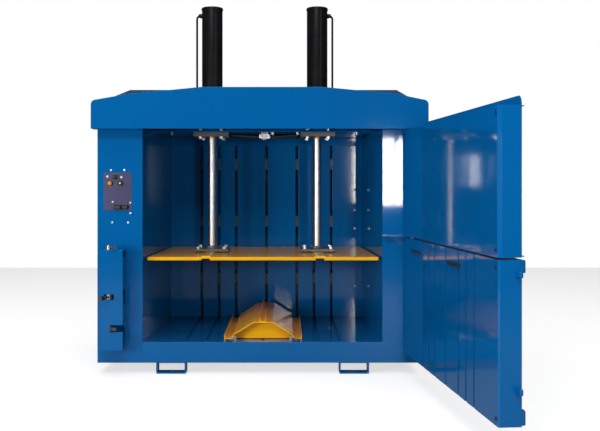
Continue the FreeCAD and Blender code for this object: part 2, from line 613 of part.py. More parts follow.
EJECT_BASE = FLOOR_TOP + EJECT_LIFT
EJECT_AXIS_Y = EJECT_FRONT + 18


def ejector_outline(t):
    """Points of the folded section's outer side (t = 0) or inner side (t = sheet)."""
    slope = t * 0.45
    return [(-EJECT_HALF + t, EJECT_LEG - slope), (-EJECT_TOP_HALF + slope, EJECT_HEIGHT - t),
            (EJECT_TOP_HALF - slope, EJECT_HEIGHT - t), (EJECT_HALF - t, EJECT_LEG - slope)]


def ejector_plate():
    """One folded sheet: a flat crown, sloping sides, short legs and turned-up feet."""
    t, base = EJECT_SHEET, EJECT_BASE
    y0, y1 = EJECT_FRONT, EJECT_FRONT + EJECT_LENGTH
    foot = EJECT_HALF + EJECT_LIP
    outer = [(-EJECT_HALF, t)] + ejector_outline(0) + [(EJECT_HALF, t)]
    inner = [(EJECT_HALF - t, 0)] + ejector_outline(t)[::-1] + [(-EJECT_HALF + t, 0)]
    arch = front([(x, z + base) for x, z in outer + inner], y0, y1)
    parts = [arch] + ejector_channel()
    for sign in (-1, 1):
        x_in, x_out = sign * (EJECT_HALF - t), sign * foot
        parts.append(box(min(x_in, x_out), max(x_in, x_out), y0 + 46, y1, base, base + t))
        lip = (sign * (foot - t), sign * foot)
        parts.append(box(min(lip), max(lip), y0 + 46, y1, base, base + EJECT_LIP_UP))
    solid = joined(parts)
    for sign in (-1, 1):
        solid = solid.cut(rod(sign * (EJECT_HALF - t - 1), EJECT_AXIS_Y, base + EJECT_PIN_Z,
                              EJECT_PIN_RADIUS + FIT, t + 2, (sign, 0, 0)))
    heel = side([(y0, base), (y0 + EJECT_HEEL, base), (y0, base + EJECT_HEEL)], -foot, foot)
    return solid.cut(heel)


def ejector_channel():
    """A strap channel welded along the crown."""
    half, rise, t = 17.0, 20.0, 4.0
    z0 = EJECT_BASE + EJECT_HEIGHT
    y0, y1 = EJECT_FRONT, EJECT_FRONT + EJECT_LENGTH
    floor = box(-half, half, y0, y1, z0, z0 + t)
    walls = [box(min(x), max(x), y0, y1, z0, z0 + rise) for x in ((-half, -half + t), (half - t, half))]
    return [floor] + walls


def ejector_end():
    """The plate that closes the arch, set back from the front edge."""
    t = EJECT_SHEET
    points = [(-EJECT_HALF + t, 2)] + ejector_outline(t) + [(EJECT_HALF - t, 2)]
    return front([(x, z + EJECT_BASE) for x, z in points], EJECT_FRONT + 60, EJECT_FRONT + 64)


def ejector_brackets():
    """Lugs on the chamber floor inside the arch's legs, which hold its hinge pins."""
    lugs = []
    for sign in (-1, 1):
        x0 = sign * (EJECT_HALF - EJECT_SHEET - 1)
        x1 = x0 - sign * 12
        lug = box(min(x0, x1), max(x0, x1), EJECT_AXIS_Y - 14, EJECT_AXIS_Y + 14, FLOOR_TOP,
                  EJECT_BASE + EJECT_PIN_Z + 10)
        lugs.append(lug.cut(rod(min(x0, x1), EJECT_AXIS_Y, EJECT_BASE + EJECT_PIN_Z,
                                EJECT_PIN_RADIUS, 12, (1, 0, 0))))
    return lugs


def ejector_pins():
    length = 12 + 1 + EJECT_SHEET + 8
    return [rod(sign * (EJECT_HALF - EJECT_SHEET - 13), EJECT_AXIS_Y, EJECT_BASE + EJECT_PIN_Z,
                EJECT_PIN_RADIUS, length, (sign, 0, 0)) for sign in (-1, 1)]


# ---------------------------------------------------------------- doors
# Each door is drawn closed, then turned open. u runs from the hinge axis to the free end,
# t from the inner face outwards.

def door_box(u0, u1, t0, t1, z0, z1):
    inner_y = FRONT - DOOR_GAP
    return box(HINGE_X - u1, HINGE_X - u0, inner_y - t1, inner_y - t0, z0, z1)


def door_plan(points, z0, z1):
    inner_y = FRONT - DOOR_GAP
    return plan([(HINGE_X - u, inner_y - t) for u, t in points], z0, z1)


def opened(solid):
    turned = solid.copy()
    turned.rotate(V(HINGE_X, HINGE_Y, 0), V(0, 0, 1), DOOR_OPEN)
    return turned


def tray_points(inset, depth):
    """A door tray's plan, pulled in by a wall, with its bevelled free edge."""
    chamfer = DOOR_CHAMFER
    root = chamfer + inset * (math.sqrt(2) - 1)
    return [(-DOOR_END + inset, inset), (DOOR_LENGTH - root, inset), (DOOR_LENGTH - inset, root),
            (DOOR_LENGTH - inset, depth), (-DOOR_END + inset, depth)]


def hinge_barrel(facing, z0, z1):
    """The tube that turns on the hinge pin, with the rib that joins it to the door's facing."""
    barrel = rod(HINGE_X, HINGE_Y, z0, BARREL_RADIUS, z1 - z0)
    rib = door_box(-DOOR_SHEET, DOOR_SHEET, facing, DOOR_THICK / 2, z0, z1)
    return joined([barrel, rib])


def door_tray(z0, z1):
    """A folded tray: inner face and four rims, with the hinge barrel welded in."""
    outer = door_plan(tray_points(0, DOOR_THICK), z0, z1)
    hollow = door_plan(tray_points(DOOR_SHEET, DOOR_THICK + 1), z0 + DOOR_SHEET, z1 - DOOR_SHEET)
    tray = joined([outer.cut(hollow), hinge_barrel(DOOR_SHEET, z0, z1)])
    return tray.cut(rod(HINGE_X, HINGE_Y, z0 - 1, PIN_RADIUS + FIT, z1 - z0 + 2))


def upper_door_tray():
    return opened(door_tray(UPPER_BOTTOM, UPPER_TOP))


def upper_door_skin():
    """The outer sheet, with a lip that stands up in front of the canopy."""
    t0, t1 = DOOR_THICK, DOOR_THICK + DOOR_SKIN
    sheet = door_box(0, DOOR_LENGTH, t0, t1, UPPER_BOTTOM, UPPER_TOP)
    lip = door_box(LIP_START, DOOR_LENGTH, t0, t1, UPPER_TOP, LIP_TOP)
    skin = joined([sheet, lip])
    end_x = HINGE_X - DOOR_LENGTH
    corner = [e for e in skin.Edges if e.BoundBox.ZMin > LIP_TOP - 0.1 and e.BoundBox.XMax < end_x + 0.1
              and e.BoundBox.YLength > DOOR_SKIN / 2]
    return opened(skin.makeFillet(LIP_RADIUS, corner))


def door_screws(z_values):
    """Domed black buffers on the inner face by the free edge."""
    screws = []
    for z in z_values:
        x, y = HINGE_X - DOOR_LENGTH + 24, FRONT - DOOR_GAP
        screws.append(opened(rod(x, y - 3, z, 7, 5.5, (0, 1, 0))))
    return screws


def with_screw_holes(tray, z_values):
    for screw in door_screws(z_values):
        tray = tray.cut(screw)
    return tray


def lower_door_frame():
    """Rims and barrel of the bale door, notched under each strap slot."""
    z0, z1 = LOWER_BOTTOM, LOWER_TOP
    outer = door_plan([(-DOOR_END, SLAT), (DOOR_LENGTH, SLAT), (DOOR_LENGTH, DOOR_THICK),
                       (-DOOR_END, DOOR_THICK)], z0, z1)
    rim = 30.0
    hollow = door_box(-DOOR_END + DOOR_SHEET, DOOR_LENGTH - DOOR_SHEET, SLAT + DOOR_SHEET, DOOR_THICK + 1,
                      z0 + DOOR_SHEET, z1 - DOOR_SHEET)
    window = door_box(60, DOOR_LENGTH - 60, 0, SLAT + DOOR_SHEET + 1, z0 + rim, z1 - rim)
    frame = joined([outer.cut(hollow).cut(window), hinge_barrel(SLAT, z0, z1)])
    for x in STRAP_LINES:
        u = HINGE_X - x
        frame = frame.cut(door_box(u - STRAP_SLOT / 2, u + STRAP_SLOT / 2, 0, 26, z0, z0 + rim))
    frame = frame.cut(rod(HINGE_X, HINGE_Y, z0 - 1, PIN_RADIUS + FIT, z1 - z0 + 2))
    return opened(frame)


def lower_door_slats():
    """Facing strips with a strap slot between each pair; the last one is bevelled."""
    slats = []
    for x0, x1 in strap_edges(HINGE_X - DOOR_LENGTH, HINGE_X + DOOR_END):
        slat = box(x0, x1, FRONT - DOOR_GAP - SLAT, FRONT - DOOR_GAP, LOWER_BOTTOM, LOWER_TOP)
        slats.append(slat)
    edge = [e for e in slats[0].Edges if e.BoundBox.XMax < HINGE_X - DOOR_LENGTH + 0.1
            and e.BoundBox.YMin > FRONT - DOOR_GAP - 0.1 and e.BoundBox.ZLength > 100]
    slats[0] = slats[0].makeChamfer(SLAT - 1, edge)
    return [opened(slat) for slat in slats]


def lower_door_skin():
    return opened(door_box(0, DOOR_LENGTH, DOOR_THICK, DOOR_THICK + DOOR_SKIN, LOWER_BOTTOM, LOWER_TOP))


def lower_door_beams():
    """Box ribs across the outside of the bale door, rounded at the free end."""
    t0 = DOOR_THICK + DOOR_SKIN
    beams = []
    for z0, z1 in DOOR_BEAMS:
        beam = door_box(BEAM_START, DOOR_LENGTH, t0, t0 + BEAM_PROUD, z0, z1)
        end_x = HINGE_X - DOOR_LENGTH
        corner = [e for e in beam.Edges if e.BoundBox.XMax < end_x + 0.1 and e.BoundBox.ZLength > 10
                  and e.BoundBox.YMax < FRONT - DOOR_GAP - t0 - BEAM_PROUD + 0.1]
        beams.append(opened(beam.makeFillet(BEAM_PROUD - 4, corner)))
    return beams


def door_catches():
    """Bars at the free end that the latch fingers hold shut."""
    catches = []
    for z in FINGER_HEIGHTS:
        bar = door_box(DOOR_LENGTH, DOOR_LENGTH + CATCH_REACH, CATCH_IN, CATCH_IN + CATCH_THICK,
                       z - 4, z + FINGER_THICK + 4)
        catches.append(opened(bar))
    return catches


def hinge_leaf(z0, left_x, height):
    """A leaf welded to the front face, with a rounded nose round the pin."""
    nose = BARREL_RADIUS
    leaf = joined([box(left_x, HINGE_X + nose, HINGE_Y, FRONT, z0, z0 + height),
                   rod(HINGE_X, HINGE_Y, z0, nose, height),
                   box(left_x, HINGE_X, HINGE_Y - 4, FRONT, z0, z0 + height)])
    return leaf.cut(rod(HINGE_X, HINGE_Y, z0 - 1, PIN_RADIUS, height + 2))


def hinge_plates():
    middle = (LOWER_TOP + UPPER_BOTTOM - HINGE_LEAF) / 2
    return [hinge_leaf(LOWER_BOTTOM - HINGE_FOOT - 2, HINGE_X - 46, HINGE_FOOT),
            hinge_leaf(middle, OPENING_HALF + 3, HINGE_LEAF),
            hinge_leaf(UPPER_TOP + 1, HINGE_X - 46, HINGE_LEAF)]


def hinge_pin():
    low = LOWER_BOTTOM - HINGE_FOOT - 4
    return rod(HINGE_X, HINGE_Y, low, PIN_RADIUS, UPPER_TOP + HINGE_LEAF + 1.5 - low)


# ---------------------------------------------------------------- latch

def latch_housing():
    """A folded cover on the left column, open at the right for the door's catches."""
    y0 = FRONT - LATCH_DEPTH
    shell = box(LATCH_LEFT, LATCH_RIGHT, y0, FRONT, LATCH_BOTTOM, LATCH_TOP)
    shell = shell.cut(box(LATCH_LEFT + SHEET, LATCH_RIGHT - SHEET, y0 + SHEET, FRONT,
                          LATCH_BOTTOM + SHEET, LATCH_TOP - SHEET))
    slot = box(LEVER_SLOT[0], LEVER_SLOT[1], y0 - 1, y0 + SHEET + 1, LEVER_SLOT[2], LEVER_SLOT[3])
    notch = box(SHAFT_X + 4, LATCH_RIGHT + 1, y0 - 1, FRONT - 40,
                FINGER_HEIGHTS[0] - 10, FINGER_HEIGHTS[0] + FINGER_THICK + 10)
    hole = rod(SHAFT_X, SHAFT_Y, LATCH_BOTTOM - 1, SHAFT_RADIUS + 1, LATCH_TOP - LATCH_BOTTOM + 2)
    for z0, z1 in SIDE_WINDOWS:
        shell = shell.cut(box(LATCH_RIGHT - SHEET - 1, LATCH_RIGHT + 1, y0 + 20, FRONT - 20, z0, z1))
    return shell.cut(slot).cut(notch).cut(hole)


def latch_bearings():
    """Blocks on the column that the latch shaft turns in."""
    blocks = []
    for z in (LATCH_BOTTOM + 30, LATCH_TOP - 60):
        block = box(SHAFT_X - 24, SHAFT_X + 24, SHAFT_Y - 16, FRONT, z, z + 22)
        blocks.append(block.cut(rod(SHAFT_X, SHAFT_Y, z - 1, SHAFT_RADIUS + FIT, 24)))
    return blocks


def latch_shaft():
    """The upright shaft and its two fingers, turned clear of the door's catches."""
    shaft = rod(SHAFT_X, SHAFT_Y, LATCH_BOTTOM + 8, SHAFT_RADIUS, LATCH_TOP - LATCH_BOTTOM + 14)
    parts = [shaft]
    for z in FINGER_HEIGHTS:
        finger = box(SHAFT_X, SHAFT_X + FINGER_LENGTH, SHAFT_Y - FINGER_WIDTH / 2,
                     SHAFT_Y + FINGER_WIDTH / 2, z, z + FINGER_THICK)
        finger.rotate(V(SHAFT_X, SHAFT_Y, 0), V(0, 0, 1), -LATCH_TURN)
        parts.append(finger)
        parts.append(rod(SHAFT_X, SHAFT_Y, z - 2, SHAFT_RADIUS + 6, FINGER_THICK + 4))
    return joined(parts)


def lever_at(start, length, radius):
    angle = math.radians(LEVER_ANGLE)
    direction = (math.cos(angle), math.sin(angle), 0)
    x, y = SHAFT_X + start * direction[0], SHAFT_Y + start * direction[1]
    return rod(x, y, LEVER_Z, radius, length, direction)


def latch_lever():
    """A steel arm clamped on the shaft."""
    hub = ring(SHAFT_X, SHAFT_Y, LEVER_Z - 11, SHAFT_RADIUS + 5, SHAFT_RADIUS, 22)
    arm = lever_at(SHAFT_RADIUS + 1, LEVER_LENGTH - SHAFT_RADIUS - 1, LEVER_THICK / 2)
    return joined([hub, arm])


def latch_grip():
    """A round knob pushed on the end of the arm."""
    knob = lever_at(LEVER_LENGTH - 26, 32, LEVER_THICK / 2 + 4)
    return knob.cut(lever_at(0, LEVER_LENGTH, LEVER_THICK / 2))


# ---------------------------------------------------------------- controls

def control_plate():
    plate = box(PANEL_LEFT, PANEL_RIGHT, FRONT - PANEL_THICK, FRONT, PANEL_BOTTOM, PANEL_TOP)
    for x, z in (STOP_BUTTON, START_BUTTON, SELECTOR):
        plate = plate.cut(rod(x, FRONT + 1, z, BUTTON_RADIUS + BUTTON_PLAY, PANEL_THICK + 2, (0, -1, 0)))
    return plate


def bezels():
    y = FRONT - PANEL_THICK
    rings = [ring(x, y, z, BEZEL_RADIUS, BUTTON_RADIUS + BUTTON_PLAY, BEZEL_DEPTH, (0, -1, 0))
             for x, z in (STOP_BUTTON, START_BUTTON, SELECTOR)]
    return rings


def button(place):
    """A push button, with its stem through the front face into the contact block."""
    x, z = place
    return rod(x, FRONT + 1, z, BUTTON_RADIUS, PANEL_THICK + BEZEL_DEPTH + 4, (0, -1, 0))


def selector_knob():
    x, z = SELECTOR
    y = FRONT - PANEL_THICK - BEZEL_DEPTH
    stem = rod(x, FRONT + 1, z, BUTTON_RADIUS, PANEL_THICK + BEZEL_DEPTH + 3, (0, -1, 0))
    grip = box(x - 4, x + 4, y - 14, y - 1, z - 12, z + 12)
    return joined([stem, grip])


def lamps():
    lenses = []
    for x, z in LAMPS:
        lens = rod(x, FRONT - PANEL_THICK, z, 9, 9, (0, -1, 0))
        rim = [e for e in lens.Edges if e.BoundBox.YMax < FRONT - PANEL_THICK - 8.9]
        lenses.append(lens.makeFillet(4, rim))
    return lenses


def control_cabinet():
    """The electrical box behind the control plate, open towards the face that it is fixed to."""
    y0, y1 = FRONT + SHEET, FRONT + 150
    x0, x1 = BODY_LEFT + SHEET + 10, PANEL_LEFT + 98
    outer = box(x0, x1, y0, y1, PANEL_BOTTOM - 30, PANEL_TOP + 40)
    return outer.cut(box(x0 + 2, x1 - 2, y0, y1 - 2, PANEL_BOTTOM - 28, PANEL_TOP + 38))


def door_switch():
    """The interlock switch beside the upper door's free edge, with its sensing head."""
    z0, z1 = SWITCH_BOTTOM, SWITCH_BOTTOM + SWITCH_HEIGHT
    split = PANEL_LEFT + 91
    body = box(PANEL_LEFT + 50, split, FRONT - 24, FRONT - PANEL_THICK, z0, z1)
    head = box(split, PANEL_LEFT + 127, FRONT - 20, FRONT - PANEL_THICK, z0 + 3, z1 - 3)
    return joined([body, head])


def front_screws():
    """Bright screws in the left column's face and through the control plate."""
    on_face = [rod(x, FRONT, z, 6, 5, (0, -1, 0)) for x, z in FACE_SCREWS]
    on_plate = [rod(x, FRONT - PANEL_THICK, z, 6, 5, (0, -1, 0)) for x, z in PLATE_SCREWS]
    return on_face + on_plate


# ---------------------------------------------------------------- everything

def with_holes(column_shape, places, radius):
    for x, z in places:
        column_shape = column_shape.cut(rod(x, FRONT + SHEET + 1, z, radius, SHEET + 2, (0, -1, 0)))
    return column_shape


def build():
    os.makedirs("parts", exist_ok=True)
    save("front_sill", front_sill())
    save("base_frame", *base_frame())
    save("floor_plate", *floor_plate())
    save("fork_loops", *[fork_loop(sx * LOOP_X, sy * LOOP_Y) for sx in (-1, 1) for sy in (-1, 1)])
    save("left_wall", chamber_wall(-1))
    save("right_wall", chamber_wall(1))
    save("back_slats", *back_slats())
    save("back_rails", *back_rails())
    left = column(BODY_LEFT, LEFT_SEAM, 1, UNDERSIDE)
    save("left_column", with_holes(left, (STOP_BUTTON, START_BUTTON, SELECTOR), BUTTON_RADIUS + BUTTON_PLAY))
    save("right_column", column(BODY_RIGHT, RIGHT_JAMB, -1, FLOOR_TOP))
    save("corner_posts", *front_posts(), *rear_posts())
    save("side_ties", *side_ties())
    save("rear_cover", rear_cover())
    save("roof_panel", roof_panel())
    save("canopy", canopy())
    save("cross_beams", *cross_beams())
    save("cylinder_tubes", *cylinder_tubes())
    save("cylinder_caps", *cylinder_caps())
    save("gland_heads", *gland_heads())
    save("cylinder_flanges", *cylinder_flanges())
    save("flange_bolts", *flange_bolts())
    save("hydraulic_pipes", *side_pipes(), cross_pipe())
    save("pack_shelf", pack_shelf())
    save("oil_tank", oil_tank())
    save("pump_motor", pump_motor())
    save("pump", pump())
    save("valve_block", valve_block())
    save("control_cabinet", control_cabinet())
    save("control_plate", control_plate())
    save("button_bezels", *bezels())
    save("lamps", *lamps())
    save("front_screws", *front_screws())
    save("door_switch", door_switch())
    save("latch_housing", latch_housing())
    save("latch_bearings", *latch_bearings())
    save("hinge_plates", *hinge_plates())
    save("hinge_pin", hinge_pin())
    save("ejector_brackets", *ejector_brackets())
    save("ejector_pins", *ejector_pins())

    save("platen", platen())
    save("rod_feet", *rod_feet())
    save("foot_bolts", *foot_bolts())
    save("piston_rods", *piston_rods())
    save("pistons", *pistons())

    save("ejector_plate", ejector_plate())
    save("ejector_end", ejector_end())

    upper_screws = (UPPER_BOTTOM + SCREW_INSET, UPPER_TOP - SCREW_INSET)
    lower_screws = (LOWER_BOTTOM + SCREW_INSET, LOWER_TOP - SCREW_INSET)
    save("upper_door_tray", with_screw_holes(upper_door_tray(), upper_screws))
    save("upper_door_skin", upper_door_skin())
    save("upper_door_screws", *door_screws(upper_screws))
    slats = lower_door_slats()
    slats[0] = with_screw_holes(slats[0], lower_screws)
    save("lower_door_slats", *slats)
    save("lower_door_frame", lower_door_frame())
    save("lower_door_skin", lower_door_skin())
    save("lower_door_beams", *lower_door_beams(), *door_catches())
    save("lower_door_screws", *door_screws(lower_screws))

    save("latch_shaft", latch_shaft())
    save("latch_lever", latch_lever())
    save("latch_grip", latch_grip())
    save("stop_button", button(STOP_BUTTON))
    save("start_button", button(START_BUTTON))
    save("selector_knob", selector_knob())


build()
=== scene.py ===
import json
import math
import bpy
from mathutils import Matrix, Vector

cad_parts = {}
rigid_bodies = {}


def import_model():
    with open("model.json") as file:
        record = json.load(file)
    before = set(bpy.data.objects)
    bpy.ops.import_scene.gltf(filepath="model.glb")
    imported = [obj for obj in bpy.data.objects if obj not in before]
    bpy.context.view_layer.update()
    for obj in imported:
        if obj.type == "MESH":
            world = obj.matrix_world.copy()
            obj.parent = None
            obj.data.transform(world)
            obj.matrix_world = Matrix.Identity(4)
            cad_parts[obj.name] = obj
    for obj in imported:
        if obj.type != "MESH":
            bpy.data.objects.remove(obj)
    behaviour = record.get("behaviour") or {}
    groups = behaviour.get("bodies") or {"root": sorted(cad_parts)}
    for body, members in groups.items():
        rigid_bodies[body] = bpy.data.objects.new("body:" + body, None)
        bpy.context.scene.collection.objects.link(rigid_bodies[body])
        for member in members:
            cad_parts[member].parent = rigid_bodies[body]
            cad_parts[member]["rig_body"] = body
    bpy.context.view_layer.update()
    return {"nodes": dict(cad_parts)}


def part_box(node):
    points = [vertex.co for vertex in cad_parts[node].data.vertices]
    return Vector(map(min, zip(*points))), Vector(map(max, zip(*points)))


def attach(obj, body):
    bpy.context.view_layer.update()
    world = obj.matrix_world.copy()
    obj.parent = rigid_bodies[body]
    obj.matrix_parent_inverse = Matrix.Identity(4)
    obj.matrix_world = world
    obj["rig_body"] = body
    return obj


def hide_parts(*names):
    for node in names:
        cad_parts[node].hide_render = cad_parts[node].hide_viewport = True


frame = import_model()
nodes = frame["nodes"]
bodyOf = {name: node["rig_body"] for name, node in nodes.items()}
slotOf = {name: node.data.materials[0].name for name, node in nodes.items()}
print("frame loaded,", len(nodes), "nodes")


# helpers for working in object and edit mode

def deselectAll():
    if bpy.context.mode != "OBJECT":
        bpy.ops.object.mode_set(mode="OBJECT")
    bpy.ops.object.select_all(action="DESELECT")


def pickOnly(piece):
    deselectAll()
    piece.select_set(True)
    bpy.context.view_layer.objects.active = piece


def editFaces(piece, test):
    # leaves the piece in edit mode with only the faces that pass the test selected
    pickOnly(piece)
    bpy.ops.object.mode_set(mode="EDIT")
    bpy.ops.mesh.select_mode(type="FACE")
    bpy.ops.mesh.select_all(action="DESELECT")
    bpy.ops.object.mode_set(mode="OBJECT")
    for face in piece.data.polygons:
        face.select = test(face.center, face.normal)
    bpy.ops.object.mode_set(mode="EDIT")


def editEdges(piece, test):
    # the same for edges; the test gets the two ends of each edge
    pickOnly(piece)
    bpy.ops.object.mode_set(mode="EDIT")
    bpy.ops.mesh.select_mode(type="EDGE")
    bpy.ops.mesh.select_all(action="DESELECT")
    bpy.ops.object.mode_set(mode="OBJECT")
    points = piece.data.vertices
    for edge in piece.data.edges:
        edge.select = test(points[edge.vertices[0]].co, points[edge.vertices[1]].co)
    bpy.ops.object.mode_set(mode="EDIT")


def leaveEdit():
    bpy.ops.object.mode_set(mode="OBJECT")


def settle(piece, name=None):
    # puts the place of a piece into its mesh
    pickOnly(piece)
    bpy.ops.object.transform_apply(location=True, rotation=True, scale=True)
    if name:
        piece.name = name
        piece.data.name = name
    return piece


def block(name, low, high):
    deselectAll()
    middle = [(a + b) / 2 for a, b in zip(low, high)]
    bpy.ops.mesh.primitive_cube_add(size=1, location=middle)
    piece = bpy.context.object
    piece.scale = [b - a for a, b in zip(low, high)]
    return settle(piece, name)


def drum(name, place, radius, length, turn=(0, 0, 0), sides=32):
    deselectAll()
    bpy.ops.mesh.primitive_cylinder_add(vertices=sides, radius=radius, depth=length,
                                        location=place, rotation=turn)
    return settle(bpy.context.object, name)


def roundEdges(piece, width, segments=2, angle=30):
    pickOnly(piece)
    bpy.ops.object.shade_smooth()
    bpy.ops.object.modifier_add(type="BEVEL")
    bevel = piece.modifiers[-1]
    bevel.limit_method = "ANGLE"
    bevel.angle_limit = math.radians(angle)
    bevel.width = width
    bevel.segments = segments
    bevel.harden_normals = True
    bpy.ops.object.modifier_apply(modifier=bevel.name)
    return piece


def copiesOf(pattern, name, places, turn=(0, 0, 0)):
    # one mesh copy of the pattern at each place, joined to one piece
    made = []
    for place in places:
        twin = pattern.copy()
        twin.data = pattern.data.copy()
        bpy.context.scene.collection.objects.link(twin)
        twin.location = place
        twin.rotation_euler = turn
        made.append(twin)
    deselectAll()
    for twin in made:
        twin.select_set(True)
    bpy.context.view_layer.objects.active = made[0]
    if len(made) > 1:
        bpy.ops.object.join()
    return settle(bpy.context.object, name)


def joined(name, pieces):
    deselectAll()
    for piece in pieces:
        piece.select_set(True)
    bpy.context.view_layer.objects.active = pieces[0]
    if len(pieces) > 1:
        bpy.ops.object.join()
    return settle(bpy.context.object, name)


def fit(piece, slot, body, *replaced):
    # gives a finished piece its material, its slot and the body it rides on
    piece.data.materials.clear()
    piece.data.materials.append(finishes[slot])
    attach(piece, body)
    if replaced:
        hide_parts(*replaced)
    return piece


# effects that several finishes share

def newGroup(name, inputs, outputs):
    group = bpy.data.node_groups.new(name, "ShaderNodeTree")
    for socket, value in inputs.items():
        entry = group.interface.new_socket(socket, in_out="INPUT", socket_type="NodeSocketFloat")
        entry.default_value = value
    for socket, kind in outputs.items():
        group.interface.new_socket(socket, in_out="OUTPUT", socket_type=kind)
    return group, group.nodes.new("NodeGroupInput"), group.nodes.new("NodeGroupOutput")


def mathNode(tree, operation, a, b=None, clamp=False):
    node = tree.nodes.new("ShaderNodeMath")
    node.operation = operation
    node.use_clamp = clamp
    for socket, value in zip(node.inputs, (a, b)):
        if value is None:
            continue
        if isinstance(value, (int, float)):
            socket.default_value = value
        else:
            tree.links.new(value, socket)
    return node.outputs[0]


def noiseNode(tree, coordinates, scale, detail=3.0, roughness=0.5):
    node = tree.nodes.new("ShaderNodeTexNoise")
    node.inputs["Detail"].default_value = detail
    node.inputs["Roughness"].default_value = roughness
    tree.links.new(coordinates, node.inputs["Vector"])
    if isinstance(scale, (int, float)):
        node.inputs["Scale"].default_value = scale
    else:
        tree.links.new(scale, node.inputs["Scale"])
    return node.outputs["Fac"]


def rampNode(tree, value, low, high):
    node = tree.nodes.new("ShaderNodeMapRange")
    node.clamp = True
    tree.links.new(value, node.inputs["Value"])
    node.inputs["From Min"].default_value = low
    node.inputs["From Max"].default_value = high
    return node.outputs["Result"]


def makePaintSkin():
    # fine sprayed orange peel over the long soft waves of rolled sheet
    given = {"Peel Size": 420.0, "Wave Size": 5.0, "Peel": 0.00002, "Wave": 0.00015}
    group, given, out = newGroup("paintSkin", given, {"Height": "NodeSocketFloat"})
    place = group.nodes.new("ShaderNodeTexCoord").outputs["Object"]
    peel = noiseNode(group, place, given.outputs["Peel Size"], 1.0)
    wave = noiseNode(group, place, given.outputs["Wave Size"], 1.0, 0.3)
    fine = mathNode(group, "MULTIPLY", peel, given.outputs["Peel"])
    broad = mathNode(group, "MULTIPLY", wave, given.outputs["Wave"])
    group.links.new(mathNode(group, "ADD", fine, broad), out.inputs["Height"])
    return group


def makeEdgeWearAndHighlight():
    # a broken wear mask along corners, from how far a rounded normal leans from the true one; the unbroken
    # rim is put out too, for a painted edge highlight
    group, given, out = newGroup("edgeWear", {"Reach": 0.004, "Break Size": 60.0, "Amount": 1.0},
                                 {"Mask": "NodeSocketFloat", "Rim": "NodeSocketFloat"})
    place = group.nodes.new("ShaderNodeTexCoord").outputs["Object"]
    rounded = group.nodes.new("ShaderNodeBevel")
    rounded.samples = 4
    group.links.new(given.outputs["Reach"], rounded.inputs["Radius"])
    geometry = group.nodes.new("ShaderNodeNewGeometry")
    dot = group.nodes.new("ShaderNodeVectorMath")
    dot.operation = "DOT_PRODUCT"
    group.links.new(rounded.outputs["Normal"], dot.inputs[0])
    group.links.new(geometry.outputs["Normal"], dot.inputs[1])
    lean = mathNode(group, "SUBTRACT", 1.0, dot.outputs["Value"])
    rim = rampNode(group, lean, 0.02, 0.2)
    broken = rampNode(group, noiseNode(group, place, given.outputs["Break Size"], 6.0, 0.7), 0.5, 0.66)
    chipped = mathNode(group, "MULTIPLY", rim, broken)
    group.links.new(mathNode(group, "MULTIPLY", chipped, given.outputs["Amount"], True), out.inputs["Mask"])
    group.links.new(rim, out.inputs["Rim"])
    return group


def makeHandling():
    # cloudy film, upward dust and thin rubbed streaks
    marks = {"Film": "NodeSocketFloat", "Dust": "NodeSocketFloat", "Streaks": "NodeSocketFloat"}
    group, given, out = newGroup("handling", {"Cloud Size": 3.0, "Streak Size": 30.0}, marks)
    place = group.nodes.new("ShaderNodeTexCoord").outputs["Object"]
    film = rampNode(group, noiseNode(group, place, given.outputs["Cloud Size"], 5.0, 0.6), 0.35, 0.7)
    geometry = group.nodes.new("ShaderNodeNewGeometry")
    parts = group.nodes.new("ShaderNodeSeparateXYZ")
    group.links.new(geometry.outputs["Normal"], parts.inputs[0])
    upward = rampNode(group, parts.outputs["Z"], 0.55, 1.0)
    specks = rampNode(group, noiseNode(group, place, 260.0, 4.0, 0.8), 0.45, 0.75)
    stretch = group.nodes.new("ShaderNodeMapping")
    stretch.inputs["Scale"].default_value = (1.0, 1.0, 0.06)
    group.links.new(place, stretch.inputs["Vector"])
    rubbed = noiseNode(group, stretch.outputs[0], given.outputs["Streak Size"], 5.0, 0.75)
    streaks = rampNode(group, rubbed, 0.58, 0.76)
    group.links.new(film, out.inputs["Film"])
    group.links.new(mathNode(group, "MULTIPLY", upward, specks), out.inputs["Dust"])
    group.links.new(streaks, out.inputs["Streaks"])
    return group


def makeTooling():
    # fine machining or drawing lines along one axis
    group, given, out = newGroup("tooling", {"Line Size": 900.0, "Along": 0.02},
                                 {"Lines": "NodeSocketFloat", "Stain": "NodeSocketFloat"})
    place = group.nodes.new("ShaderNodeTexCoord").outputs["Object"]
    squeeze = group.nodes.new("ShaderNodeCombineXYZ")
    squeeze.inputs[0].default_value = 1.0
    squeeze.inputs[1].default_value = 1.0
    group.links.new(given.outputs["Along"], squeeze.inputs[2])
    product = group.nodes.new("ShaderNodeVectorMath")
    product.operation = "MULTIPLY"
    group.links.new(place, product.inputs[0])
    group.links.new(squeeze.outputs[0], product.inputs[1])
    lines = noiseNode(group, product.outputs[0], given.outputs["Line Size"], 2.0, 0.6)
    group.links.new(lines, out.inputs["Lines"])
    group.links.new(rampNode(group, noiseNode(group, place, 22.0, 5.0, 0.65), 0.4, 0.72), out.inputs["Stain"])
    return group


paintSkin = makePaintSkin()
edgeWear = makeEdgeWearAndHighlight()
handling = makeHandling()
tooling = makeTooling()


# finishes: the three ways they are made, then one dictionary each

def startFinish(name, colour, metallic=0.0, roughness=0.3, **plain):
    material = bpy.data.materials.new(name)
    material.use_nodes = True
    tree = material.node_tree
    shader = tree.nodes["Principled BSDF"]
    shader.inputs["Base Color"].default_value = (*colour, 1)
    shader.inputs["Metallic"].default_value = metallic
    shader.inputs["Roughness"].default_value = roughness
    for socket, value in plain.items():
        shader.inputs[socket.replace("_", " ")].default_value = value
    return material, tree, shader


def useGroup(tree, group, **values):
    node = tree.nodes.new("ShaderNodeGroup")
    node.node_tree = group
    for socket, value in values.items():
        node.inputs[socket.replace("_", " ")].default_value = value
    return node.outputs


